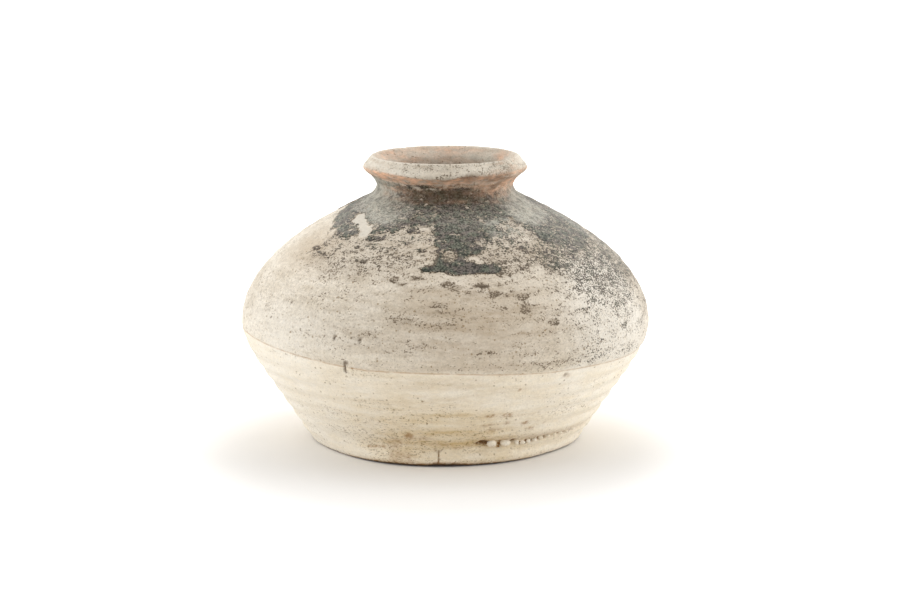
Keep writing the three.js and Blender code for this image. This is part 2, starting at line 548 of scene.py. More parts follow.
class Weather:
    """Where glaze survived, where the clay is worn, stained, chipped or painted with shade, and how uneven
    the surface is.
    """

    DIP_LINE = (
        (-180.0, 33.4), (-120.0, 35.4), (-73.0, 35.6), (-47.0, 33.8), (-22.0, 31.7), (0.0, 31.6),
        (30.0, 30.2), (63.0, 29.9), (120.0, 31.2), (180.0, 33.4),
    )
    COATS = (
        Patch(
            (
                (-102, -9), (-92, 6), (-78, 10.5), (-66, 14.6), (-58.3, 16.9), (-52.8, 18.2), (-47.6, 18.0),
                (-44.4, 16.6), (-39.6, 16.4), (-36.4, 17.4), (-33.4, 18.2), (-32.6, 15.8), (-29, 14.2),
                (-26, 13), (-23.5, 11.9), (-20.6, 10.8), (-18, 12.2), (-14.8, 12.2), (-12.6, 10.4),
                (-8.6, 10.8), (-5.5, 12.6), (-2, -9),
            ),
            0.73, 1.8, 1.4,
        ),
        Patch(
            (
                (-8, -9), (-6.7, 8), (-5.6, 13.2), (-4.6, 17), (-4, 20), (-5.3, 23.4), (-6.1, 26),
                (-8.6, 28), (-7.8, 29.2), (-1.4, 29.4), (4.3, 30.6), (13.5, 30.1), (17.8, 30.6),
                (20.1, 28.4), (17.5, 25.9), (12.8, 25.6), (10, 24.6), (10.7, 22.7), (16.9, 20.8),
                (14.3, 17.6), (21.5, 16), (28.4, 13.2), (29, 10.3), (41, 6.7), (46, -9),
            ),
            0.82, 1.6, 1.4,
        ),
        Patch(
            (
                (-8.6, 27.4), (-7.8, 29.2), (-1.4, 29.5), (4.3, 30.7), (13.5, 30.2), (17.8, 30.7),
                (20.2, 28.6), (17.5, 26.2), (9, 26), (2, 26.6),
            ),
            0.92, 0.5, 0.45,
        ),
        Patch(
            (
                (36, -9), (39, 16.5), (43.6, 21), (49.8, 23.6), (55.6, 26.2), (64, 27.4), (80, 25),
                (100, 18), (118, 8), (112, -9),
            ),
            0.74, 3.4, 2.0,
        ),
        Patch(
            (
                (27, 14), (29, 26), (34, 33), (45, 44), (56, 51), (63, 51), (70, 48), (88, 47), (104, 43),
                (112, 28), (100, 14), (60, 10),
            ),
            0.58, 13.0, 3.0,
        ),
        Patch(
            ((80, 8), (75, 26), (76, 42), (82, 53), (92, 57), (104, 50), (113, 34), (118, 16), (110, 8)),
            0.33, 7.0, 4.0,
        ),
        Patch(((9, 17), (6, 23), (9, 27), (22, 32), (38, 30), (42, 15), (20, 12)), 0.47, 3.8, 2.2),
        Patch(((16, 12), (17, 15), (27, 16.4), (36, 16.6), (42, 14), (46, 6), (30, 6)), 0.66, 1.6, 1.4),
        Patch(
            ((-64, 15), (-60, 30), (-46, 36), (-30, 36), (-14, 33), (-7, 28), (-6, 10), (-30, 9), (-44, 13)),
            0.408, 5.0, 2.4,
        ),
        Patch(
            (
                (108, -9), (120, 14), (142, 19), (160, 13), (190, 23.5), (212, 14), (240, 17), (256, 11),
                (264, 6), (262, -9),
            ),
            0.76, 2.6, 2.0,
        ),
        Patch(((120, 12), (150, 27), (190, 34), (225, 25), (258, 17), (200, 8)), 0.42, 6.0, 2.2),
    )
    BARE = (
        Patch(((-1.8, 20.6), (2.6, 20.2), (4.4, 22.3), (2.4, 24.9), (0, 25.2), (-1.4, 23.2)), 0.34, 1.0, 0.9),
        Patch(((9.2, 23.2), (12.6, 22.8), (13.6, 24.9), (10.5, 25.8)), 0.17, 0.7, 0.6),
    )
    CHIP = Patch(
        (
            (-61, 6.2), (-56, 5.4), (-47, 9), (-41, 11.6), (-37.4, 13.6), (-36.4, 15.6), (-40.5, 16.2),
            (-43, 13.6), (-46, 12.4), (-50, 13.2), (-50, 10.6), (-57, 9.6),
        ),
        0.88, 0.8, 1.7,
    )
    SCRATCH = Patch(
        ((15.1, -0.9), (18.3, 2.6), (20.6, 8.0), (21.8, 8.0), (19.7, 2.2), (16.9, -1.0)),
        0.5, 0.4, 0.6,
    )
    CRACKLE = Patch(
        ((26, 10.5), (26, 15), (29, 18), (35, 18.6), (41, 16.5), (44, 12), (40, 7.5), (35, 6.2), (30, 7.5)),
        0.36, 2.0, 2.2,
    )
    WHITES = spot_rows(
        (-50.3, -0.9, 0.5, 0.8, 0.8), (-27.2, -0.3, 0.7, 0.5, 0.8), (-14.2, -2.0, 0.6, 0.5, 0.8),
        (15.5, -0.4, 0.6, 0.5, 0.8), (-25.8, 5.8, 1.3, 0.4, 0.6), (5.4, 13.1, 2.2, 0.4, 0.4),
        (30.0, 5.6, 1.6, 0.4, 0.5), (37.0, 3.6, 1.0, 0.5, 0.6), (-19.4, -3.6, 0.6, 0.4, 0.5),
        (2.4, -3.2, 0.5, 0.3, 0.4), (9.3, -2.1, 0.5, 0.3, 0.4), (22.0, -5.6, 0.5, 0.3, 0.6),
        (-9.7, -6.5, 1.4, 0.35, 0.5), (-21.7, -6.9, 1.2, 0.35, 0.5), (0.8, -8.0, 1.0, 0.35, 0.5),
        (-4.3, -7.3, 0.8, 0.35, 0.4), (-36.0, -4.0, 0.4, 0.5, 0.4), (33.0, -2.6, 1.2, 0.3, 0.4),
    )
    ISLANDS = spot_rows(
        (-16.4, 12.2, 2.0, 1.2, 0.80), (-14.7, 10.6, 1.0, 0.8, 0.80), (-14.9, 15.3, 1.0, 1.1, 0.74),
        (-46.5, 18.0, 1.8, 0.8, 0.66), (-34.8, 17.2, 1.6, 0.9, 0.78), (-30.4, 16.3, 1.9, 1.1, 0.80),
        (-33.8, 18.9, 2.4, 0.9, 0.74), (-37.4, 20.7, 1.4, 1.1, 0.78), (-34.5, 21.7, 1.4, 0.7, 0.72),
        (-30.1, 20.0, 1.5, 0.7, 0.76), (-18.0, 16.8, 1.7, 0.8, 0.72), (-45.6, 28.0, 1.4, 0.7, 0.58),
        (-33.0, 26.3, 1.6, 1.0, 0.62), (-30.6, 26.7, 1.4, 1.0, 0.62), (-17.8, 23.9, 1.6, 1.1, 0.66),
        (-13.8, 24.5, 1.4, 1.2, 0.64), (-8.6, 20.8, 2.2, 1.1, 0.64), (-8.0, 22.6, 1.8, 1.0, 0.62),
        (-10.0, 24.8, 1.6, 0.8, 0.62), (-16.6, 27.4, 2.0, 1.0, 0.60), (-22.0, 20.6, 1.6, 1.2, 0.58),
        (-25.0, 24.4, 1.6, 0.9, 0.54), (-6.6, 16.0, 1.0, 1.2, 0.66), (-17.0, 32.9, 2.0, 1.3, 0.69),
        (-13.4, 33.9, 3.1, 1.0, 0.68), (-10.0, 31.9, 3.4, 0.9, 0.61), (0.8, 33.8, 3.4, 1.3, 0.58),
        (10.4, 34.5, 3.1, 0.9, 0.78), (14.9, 37.6, 2.7, 1.4, 0.74), (18.9, 38.4, 2.2, 1.1, 0.68),
        (23.2, 39.0, 2.7, 1.3, 0.66), (2.3, 44.0, 1.5, 1.6, 0.64), (-11.1, 46.0, 6.3, 1.5, 0.48),
        (1.6, 34.6, 4.5, 1.4, 0.50), (-0.6, 40.8, 3.6, 1.4, 0.46), (7.6, 37.5, 2.8, 1.1, 0.45),
        (23.4, 42.8, 3.4, 1.4, 0.55), (33.4, 22.5, 1.2, 0.6, 0.66), (36.0, 22.8, 1.2, 0.6, 0.66),
        (31.2, 26.2, 1.0, 0.7, 0.80), (32.6, 27.2, 1.5, 0.5, 0.80), (29.9, 28.2, 0.7, 0.9, 0.76),
        (27.8, 29.1, 1.3, 0.4, 0.66), (21.7, 26.2, 1.1, 0.8, 0.76), (30.0, 16.8, 2.8, 0.5, 0.82),
        (61.6, 32.6, 2.0, 1.0, 0.51), (38.8, 40.0, 1.7, 1.1, 0.51), (51.7, 43.8, 1.7, 0.9, 0.51),
        (43.5, 44.9, 1.3, 1.6, 0.54), (39.2, 50.8, 1.7, 0.8, 0.54), (9.0, 55.6, 1.7, 0.7, 0.56),
        (12.2, 55.9, 1.2, 0.7, 0.54), (17.3, 34.9, 2.0, 0.9, 0.53), (30.1, 37.9, 2.8, 1.3, 0.52),
        (37.2, 28.9, 1.4, 1.4, 0.78), (39.6, 30.0, 1.6, 1.2, 0.78), (42.5, 29.5, 1.5, 1.5, 0.78),
        (49.9, 33.4, 3.6, 1.3, 0.57), (56.7, 32.5, 2.5, 1.1, 0.57), (45.1, 38.0, 1.8, 1.4, 0.59),
        (48.0, 38.3, 2.2, 1.1, 0.57), (48.9, 43.0, 2.5, 2.3, 0.54), (62.7, 38.7, 2.8, 1.1, 0.54),
        (31.4, 21.4, 2.2, 1.5, 0.76), (26.2, 20.4, 1.8, 0.8, 0.72), (31.0, 47.8, 2.2, 1.0, 0.60),
        (59.8, 52.8, 1.7, 0.9, 0.57), (-59.2, 24.2, 2.0, 1.0, 0.80), (-52.9, 25.5, 2.4, 1.0, 0.82),
        (-52.9, 30.7, 2.5, 0.9, 0.46), (-48.0, 26.5, 2.2, 0.8, 0.66), (-72.0, 49.4, 0.8, 1.4, 0.64),
        (-57.6, 50.2, 1.7, 1.1, 0.56), (150, 33, 2.5, 1.4, 0.76), (205, 36, 3.0, 1.2, 0.76),
        (232, 29, 2.2, 1.3, 0.72), (176, 30, 2.0, 1.2, 0.70), (246, 24, 2.6, 1.0, 0.70),
        (128, 26, 2.2, 1.4, 0.70),
    )
    FILMS = (
        Patch(
            ((-90, -5), (-80, 3), (-62, 6.5), (-40, 11), (-28, 9), (-22, 2), (-26, -4), (-50, -5)),
            0.75, 3.0, 1.6,
        ),
        Patch(
            ((44, -4), (40, 8), (48, 12), (62, 11.5), (76, 9), (84, 3), (80, -4), (62, -5)),
            0.81, 3.0, 1.4,
        ),
        Patch(((44, 12), (48, 20), (60, 25), (78, 22), (92, 12), (70, 9)), 0.14, 3.0, 2.0),
        Patch(((-82, 6), (-76, 12), (-60, 15), (-46, 15), (-48, 11), (-62, 6)), 0.22, 2.0, 1.6),
        Patch(((-22, 0), (-12, 9), (10, 12), (28, 9), (40, 5), (20, 0)), 0.20, 3.0, 2.0),
        Patch(((22, 8), (23, 14), (30, 18), (38, 18), (40, 10), (34, 6)), 0.70, 2.5, 2.4),
        Patch(((80, 6), (77, 22), (77, 38), (80, 52), (106, 50), (112, 20), (100, 6)), 0.46, 4.0, 2.0),
        Patch(((150, -4), (150, 8), (185, 12), (215, 8), (215, -4)), 0.6, 3.0, 1.6),
    )
    PITS = spot_rows(
        (-31.4, 52.6, 0.55, 1.15, 1.0), (-23.7, 52.5, 0.7, 0.7, 1.0), (-28.6, 61.6, 0.45, 1.9, 1.0),
        (-28.0, 59.8, 0.8, 0.6, 0.9), (-50.6, 44.0, 0.5, 0.9, 0.8), (36.4, 65.4, 0.8, 0.6, 0.5),
    )
    NOTCHES = spot_rows(
        (14.2, 7.0, 1.5, 0.85, 1.0), (12.2, 6.5, 0.8, 0.4, 0.8), (20.8, 6.3, 0.8, 1.1, 0.6),
        (26.3, 6.6, 0.9, 1.0, 1.0), (29.5, 5.6, 0.5, 0.5, 0.9), (32.3, 5.9, 0.5, 0.5, 0.9),
        (35.0, 6.1, 0.45, 0.4, 0.9), (37.9, 6.4, 0.5, 0.35, 0.8), (41.0, 6.7, 0.5, 0.35, 0.8),
        (44.4, 6.9, 0.5, 0.3, 0.8), (48.1, 6.9, 0.5, 0.3, 0.8), (51.8, 6.8, 0.5, 0.3, 0.8),
        (56.0, 6.9, 0.6, 0.3, 0.6),
    )
    SMEARS = spot_rows(
        (14.2, 16.3, 3.0, 0.75, 1.0), (20.6, 16.0, 2.2, 0.75, 1.0), (15.6, 13.2, 2.8, 0.95, 1.0),
        (21.2, 13.6, 1.2, 0.7, 0.8), (28.2, 13.0, 1.5, 0.9, 1.0), (33.2, 13.0, 2.4, 0.9, 1.0),
        (31.7, 10.9, 2.2, 0.7, 0.9), (17.0, 11.4, 2.4, 0.5, 0.6), (37.0, 12.0, 1.6, 0.8, 0.6),
        (-13.4, 9.5, 1.3, 1.2, 0.9), (-8.0, 8.6, 3.6, 0.35, 0.7), (-27.6, 4.9, 2.2, 0.7, 0.8),
        (-18.0, 6.6, 2.6, 1.4, 0.5), (-1.0, 6.6, 5.0, 0.5, 0.6), (6.0, 5.6, 4.0, 0.4, 0.6),
        (9.0, 6.2, 2.4, 0.5, 0.7), (-16.0, 2.4, 4.0, 2.0, 0.45), (36.6, 28.2, 1.8, 0.9, 0.4),
        (22.3, 25.1, 0.5, 0.6, 0.9),
    )
    MOUTH_BURNS = ((-138.0, 60.0), (178.0, 32.0), (118.0, 18.0), (20.0, 70.0))
    CRACK_TURN = -2.6
    CRACK_TOP = 5.2
    LOOSE_PITS = 260
    LOOSE_PIT_RANGES = ((-180, 180), (8, 92), (0.3, 0.75), (0.6, 1.2), (0.25, 0.8))
    LOOSE_PIT_REACH = (4.0, 1.6)
    GROOVE_PITCH = 5.2
    GROOVE_DEPTHS = (0.15, 0.035)
    SEAM_DEPTH = 0.35
    CRACK_DEPTH = 0.3
    NOTCH_DEPTH = 0.7
    PIT_DEPTH = 0.55
    LOOSE_PIT_DEPTH = 0.3
    CHIP_DEPTH = 0.16

    def __init__(self) -> None:
        """Sets up the noises, each from its own seed, and scatters the loose pits."""
        self.wide = Unevenness(11)
        self.fray = Unevenness(23)
        self.fine = Unevenness(37)
        scatter = np.random.default_rng(71)
        drawn = [scatter.uniform(low, high, self.LOOSE_PITS) for low, high in self.LOOSE_PIT_RANGES]
        self.loose_pits = [
            Spot(turn, drop, size, size * stretch, depth) for turn, drop, size, stretch, depth in zip(*drawn)
        ]

    def hem_fray(self, turn: np.ndarray, drop: np.ndarray) -> np.ndarray:
        """Unevenness that frays the edges of glaze, film and stains on the wall."""
        return 1.1 * self.fray.rough(turn, drop, 90, 2.4, 3)

    def lip_fray(self, turn: np.ndarray, along: np.ndarray) -> np.ndarray:
        """Unevenness that frays the edges of what lies on the lip and in the mouth."""
        return self.fray.rough(turn, along * 1.6, 60, 2.2, 3)

    def lip_streak(self, turn: np.ndarray, along: np.ndarray) -> np.ndarray:
        """Wide streaks round the lip and the mouth."""
        return self.wide.rough(turn, along, 12, 1.3, 3)

    def dip_height(self, turn: np.ndarray) -> np.ndarray:
        """Finds the line down to which the jar was dipped in glaze.

        Args:
            turn: Angles round the jar in degrees.

        Returns:
            Heights of the line in millimetres.
        """
        knots = np.array(self.DIP_LINE)
        line = np.interp(angle_from(turn, 0.0), knots[:, 0], knots[:, 1])
        return line + 0.25 * self.wide.at(turn, np.zeros_like(turn), 24, 10.0)

    def seam_share(self, turn: np.ndarray) -> np.ndarray:
        """How open the base joint is.

        Args:
            turn: Angles round the jar in degrees.

        Returns:
            Values from 0 to 1.
        """
        front = smooth(turn, 9.0, 15.0) * fade(turn, 58.0, 78.0)
        back = smooth(turn, 150.0, 160.0) + fade(turn, -160.0, -148.0)
        return np.clip(front + 0.5 * back, 0.0, 1.0)

    @staticmethod
    def heel_step(turn: np.ndarray) -> np.ndarray:
        """Where the heel is broken off in a low step at the front, from 0 to 1."""
        return smooth(turn, -5.2, -4.6) * fade(turn, 4.0, 9.0)

    @staticmethod
    def right_side(turn: np.ndarray) -> np.ndarray:
        """Share of the right side, where most of the glaze is left in grains."""
        return smooth(turn, 0.0, 48.0) * fade(turn, 112.0, 170.0)

    @staticmethod
    def inside_share(height: np.ndarray) -> np.ndarray:
        """How much of the outside's sway the inside of the collar follows."""
        return 0.35 * smooth(height, JAR.collar_foot, JAR.collar_foot + 2.0)

    def crack(self, turn: np.ndarray, height: np.ndarray, radius: np.ndarray) -> np.ndarray:
        """How near points are to the upright crack in the foot and its fork.

        Args:
            turn: Angles round the jar in degrees.
            height: Heights in millimetres.
            radius: Distances from the axis in millimetres.

        Returns:
            Values from 0 to 1.
        """
        top, degree = self.CRACK_TOP, np.radians(1.0)
        wander = 0.5 * self.fine.at(turn, height, 60, 1.1)
        away = np.abs((turn - self.CRACK_TURN + wander) * degree * radius)
        stem = fade(away, 0.08, 0.34) * fade(height, top - 0.9, top)
        fork = np.abs(turn - self.CRACK_TURN) * degree * radius - 1.1 * (height - top + 1.2)
        arms = fade(np.abs(fork), 0.12, 0.45) * bump_at(height, top - 0.5, 1.0)
        return np.maximum(stem, 0.7 * arms)

    def relief(self, places: Places) -> np.ndarray:
        """How far the outside stands out from its even outline.

        Args:
            places: Points on the outside.

        Returns:
            Millimetres outwards.
        """
        turn, height, drop, radius = places
        spiral = drop + self.GROOVE_PITCH * turn / 360.0
        sway = self.wide.at(turn, drop, 7, 24.0)
        low_depth, even_depth = self.GROOVE_DEPTHS
        depth = low_depth * fade(height, 27.0, 36.0) + even_depth
        rings = np.cos(2 * math.pi * spiral / self.GROOVE_PITCH) * depth * (1.0 + 0.7 * sway)
        rings += 0.05 * self.wide.at(turn, drop, 14, 1.7)
        out = rings + 0.22 * sway + 0.05 * self.fine.rough(turn, drop, 180, 1.9, 2)
        out += 0.06 * smooth(height - self.dip_height(turn), -0.3, 0.5) * smooth(72.0 - height, 0.0, 6.0)
        seam = self.seam_share(turn)
        out += seam * (0.30 * bump_at(height, 8.6, 2.2) - 0.22 * bump_at(height, 4.6, 2.8))
        out -= self.SEAM_DEPTH * seam * bump_at(height, 6.7, 0.9)
        out -= self.CRACK_DEPTH * self.crack(turn, height, radius)
        uneven = self.fray.at(turn, drop, 300, 1.2)
        for spot in self.NOTCHES:
            out -= self.NOTCH_DEPTH * spot.amount_at(turn, height, radius, uneven)
        for spot in self.PITS:
            out -= self.PIT_DEPTH * spot.amount_at(turn, drop, radius, uneven)
        wide, high = self.LOOSE_PIT_REACH
        for spot in self.loose_pits:
            near = (np.abs(drop - spot.drop) < high) & (np.abs(angle_from(turn, spot.turn)) < wide)
            amount = spot.amount_at(turn[near], drop[near], radius[near], uneven[near])
            out[near] -= self.LOOSE_PIT_DEPTH * amount
        return out - self.CHIP_DEPTH * self.CHIP.amount_at(turn, drop, uneven)

    def skin_shift(self, places: Places) -> tuple[np.ndarray, np.ndarray]:
        """How the outside of the wall and collar is moved from its even outline.

        Args:
            places: Points on the outside.

        Returns:
            Millimetres outwards and millimetres up.
        """
        turn, height, drop, _ = places
        out_part, up_part = JAR.facing(np.minimum(height, JAR.collar_seat))
        free = smooth(height, JAR.collar_foot - 0.4, JAR.collar_foot + 2.0)
        relief = self.relief(places) * (1.0 - free)
        swing = 0.30 * self.wide.at(turn, np.full_like(turn, 3.0), 6, 30.0)
        swing += 0.10 * self.wide.at(turn, drop, 22, 4.0)
        swing += 0.08 * self.fine.rough(turn, drop * 1.3, 90, 1.2, 2) + 0.45 * bump_at(height, 83.4, 1.7)
        return relief * out_part + swing * free, relief * up_part * smooth(height, 1.0, 3.0)

    def coat_share(self, places: Places) -> np.ndarray:
        """How much of the dark glaze is left at points of the outside.

        Args:
            places: Points on the outside.

        Returns:
            The share of its patches and islands, from 0 to 1.
        """
        turn, _, drop, radius = places
        fray = self.hem_fray(turn, drop)
        cover = strongest(self.COATS, turn, drop, fray)
        for bare in self.BARE:
            cover *= 1.0 - 0.9 * bare.amount_at(turn, drop, fray)
        cover = np.maximum(cover, 0.9 * strongest(self.ISLANDS, turn, drop, radius, fray))
        return cover * (1.0 - self.CHIP.amount_at(turn, drop, fray))

    def chips(self, places: Places, fray: np.ndarray) -> np.ndarray:
        """Where the coat is flaked, scratched or crazed down to the clay.

        Args:
            places: Points on the outside.
            fray: Unevenness of the edges.

        Returns:
            Values from 0 to 1.
        """
        turn, _, drop, radius = places
        chip = strongest((self.CHIP, self.SCRATCH), turn, drop, fray)
        chip = np.maximum(chip, strongest(self.WHITES, turn, drop, radius, fray))
        flaking = smooth(self.fine.rough(turn, drop, 150, 1.7, 2), -0.35, 0.35)
        return np.maximum(chip, self.CRACKLE.amount_at(turn, drop, fray) * flaking)

    def grit(self, places: Places, streak: np.ndarray, clump: np.ndarray) -> np.ndarray:
        """How densely grains of glaze are left on the worn wall.

        Args:
            places: Points on the outside.
            streak: Wide streaks of wear.
            clump: Clumps of grains.

        Returns:
            A thin cover, from about 0 to 0.5.
        """
        turn, _, drop, _ = places
        right = self.right_side(turn)
        left = smooth(-turn, 26.0, 58.0) * fade(-turn, 120.0, 165.0)
        low = smooth(drop, 36.0, 56.0) * (1.0 - 0.5 * right)
        sides = 0.27 + 0.09 * fade(drop, 14.0, 36.0) + 0.08 * right - 0.14 * left - 0.07 * low
        return sides + 0.09 * streak + 0.12 * clump

    def soil_and_painted_shade(self, places: Places, fray: np.ndarray) -> tuple[np.ndarray, np.ndarray]:
        """Dirt smeared on the foot and lying in its crack, seam and pits, and painted shade along the heel
        and in the notches.

        Args:
            places: Points on the outside.
            fray: Unevenness of the edges.

        Returns:
            Shares of the brown stain and of the dark trace, each partly painted shade.
        """
        turn, height, drop, radius = places
        # edge: top of the dark brown band along the bottom edge, painted shade of the gap under the heel,
        # highest at the front.
        edge = -0.2 + 0.95 * bump_at(turn, -4.0, 60.0) + 0.36 * self.heel_step(turn)
        edge += 0.2 * bump_at(turn, -20.0, 5.0) + 0.14 * fray
        crack = self.crack(turn, height, radius)
        # The notches are darkened both by dirt and as painted shade in their hollows.
        notch = strongest(self.NOTCHES, turn, height, radius, fray)
        stains = (
            0.78 * strongest(self.SMEARS, turn, height, radius, fray),
            0.30 * self.seam_share(turn) * bump_at(height, 7.4, 2.6),
            fade(height, edge, edge + 0.7),
            crack,
            smooth(notch, 0.0, 0.35),
        )
        darks = (
            0.5 * crack,
            fade(height, edge - 0.1, edge + 0.12),
            strongest(self.PITS, turn, drop, radius, fray),
            0.8 * smooth(notch, 0.2, 0.9),
        )
        return np.maximum.reduce(stains), np.maximum.reduce(darks)

    def tan_and_painted_shade(self, places: Places, above: np.ndarray, streak: np.ndarray) -> np.ndarray:
        """Where the clay was fired to a tan, above the dip line and in a warm flush on the foot, some of it
        painted shade.

        Args:
            places: Points on the outside.
            above: Heights above the dip line in millimetres.
            streak: Wide streaks of wear.

        Returns:
            Shares of the tan, partly painted shade.
        """
        turn, height, drop, _ = places
        front = bump_at(turn, 8.0, 46.0) * bump_at(drop, 47.0, 36.0) * smooth(above, -0.2, 1.0)
        front *= 0.90 + 0.5 * streak
        front *= 1.0 - 0.6 * bump_at(turn, -24.0, 28.0) * fade(above, 4.0, 10.0)
        # foot: the foot's warm flush, kept strong up the front of the foot as painted shade where the wall
        # leans away from the light.
        foot = bump_at(turn, 0.0, 60.0) * (0.62 + 0.5 * streak) * (1.0 - 0.36 * smooth(height, 2.0, 33.0))
        foot *= 1.0 + 0.15 * fade(height, 2.0, 14.0)
        foot_sides = 0.36 * bump_at(turn, 0.0, 82.0) * fade(height, 6.0, 24.0)
        right = 0.86 * bump_at(turn, 19.0, 24.0) * bump_at(drop, 36.5, 11.0) * (0.9 + 0.5 * streak)
        # left: tan at the upper left, partly painted shade that darkens that side.
        left = 0.8 * bump_at(turn, -58.0, 32.0) * bump_at(drop, 23.0, 18.0)
        return np.maximum.reduce([front, foot, foot_sides, right, left])

    def white_bloom(self, places: Places, above: np.ndarray) -> np.ndarray:
        """Where the worn clay has a white bloom, most of it at the right.

        Args:
            places: Points on the outside.
            above: Heights above the dip line in millimetres.

        Returns:
            Shares of the bloom.
        """
        turn, _, drop, _ = places
        right = 0.74 * self.right_side(turn) * smooth(turn, 28.0, 52.0)
        right *= smooth(drop, 22.0, 34.0) * fade(drop, 60.0, 69.0)
        right *= 1.0 - 0.8 * smooth(turn, 68.0, 78.0)
        left = bump_at(turn, -53.0, 46.0) * smooth(drop, 40.0, 52.0) * (0.34 + 0.14 * smooth(above, 0.0, 3.0))
        return np.maximum(right, left)

    def traces(self, places: Places) -> dict[Trace, np.ndarray]:
        """What wear and firing left at points of the outside, wall and collar alike, and painted shade.

        Args:
            places: Points on the outside.

        Returns:
            An array for each trace.
        """
        turn, height, drop, _ = places
        fray = self.hem_fray(turn, drop)
        streak = self.wide.rough(turn, drop, 16, 2.4, 3)
        clump = self.wide.rough(turn, drop + 90.0, 34, 5.0, 2)
        above = height - self.dip_height(turn)
        chip = self.chips(places, fray)
        cover = np.maximum(self.coat_share(places), self.grit(places, streak, clump))
        cover *= smooth(above, -0.5, 2.0) * (1.0 - chip)
        film = strongest(self.FILMS, turn, drop, fray) * (1.0 - chip) * smooth(cover, 0.48, 0.70)
        specks = 0.44 + 0.18 * smooth(above, -1.0, 1.0) + 0.36 * streak + 0.36 * clump
        specks += 0.42 * bump_at(turn, -20.0, 56.0) * fade(height, 8.0, 24.0)
        brown = 0.6 * smooth(drop, 15.0, 24.0) + 0.3 * smooth(drop, 28.0, 33.0)
        brown *= fade(cover, 0.72, 0.85) * (1.0 - 0.75 * smooth(turn, 26.0, 50.0))
        stain, dark = self.soil_and_painted_shade(places, fray)
        found = {
            Trace.ABOVE_DIP: above,
            Trace.COVER: cover,
            Trace.FILM: film,
            Trace.RUST: np.zeros_like(turn),
            Trace.SPECKS: specks,
            Trace.STAIN: stain,
            Trace.CHIP: chip,
            Trace.DARK: dark,
            Trace.TAN: self.tan_and_painted_shade(places, above, streak),
            Trace.BLOOM: self.white_bloom(places, above),
            Trace.BROWN: brown,
        }
        share = smooth(height, JAR.collar_foot - 1.6, JAR.collar_foot + 1.8)
        for trace, values in CollarWear(self, places).traces().items():
            found[trace] = found[trace] * (1.0 - share) + values * share
        return {trace: v if trace is Trace.ABOVE_DIP else np.clip(v, 0.0, 1.0) for trace, v in found.items()}

    def mouth_traces(self, places: Places) -> dict[Trace, np.ndarray]:
        """What firing left on the inside of the mouth, and painted shade that darkens it down the throat.

        Args:
            places: Points on the inside.

        Returns:
            An array for each trace.
        """
        turn, deep = places.turn, JAR.height - places.height
        fray, streak = self.lip_fray(turn, deep), self.lip_streak(turn, deep)
        burnt = np.maximum.reduce([bump_at(angle_from(turn, at), 0.0, wide) for at, wide in self.MOUTH_BURNS])
        throat = smooth(deep, 4.0, 8.0)
        # hollow: painted shade, darker further down the throat, with a little more dark at the back right.
        hollow = (0.5 + 0.25 * fray) * smooth(deep, 2.4, 6.8) + 0.12 * bump_at(turn, 130.0, 60.0)
        found = {trace: np.zeros_like(turn) for trace in Trace}
        found[Trace.COVER] = 0.20 + 0.16 * throat + 0.10 * fray
        found[Trace.FILM] = 0.30 + 0.45 * (1.0 - burnt) * smooth(deep, 0.8, 2.4) + 0.2 * fray
        found[Trace.RUST] = smooth(deep, 0.3, 1.0) * (1.0 - throat) * (0.10 + 0.44 * burnt + 0.30 * streak)
        found[Trace.SPECKS] = np.full_like(turn, 0.2)
        found[Trace.DARK] = 0.12 + hollow
        found = {trace: np.clip(values, 0.0, 1.0) for trace, values in found.items()}
        found[Trace.ABOVE_DIP] = np.full_like(turn, 40.0)
        return found


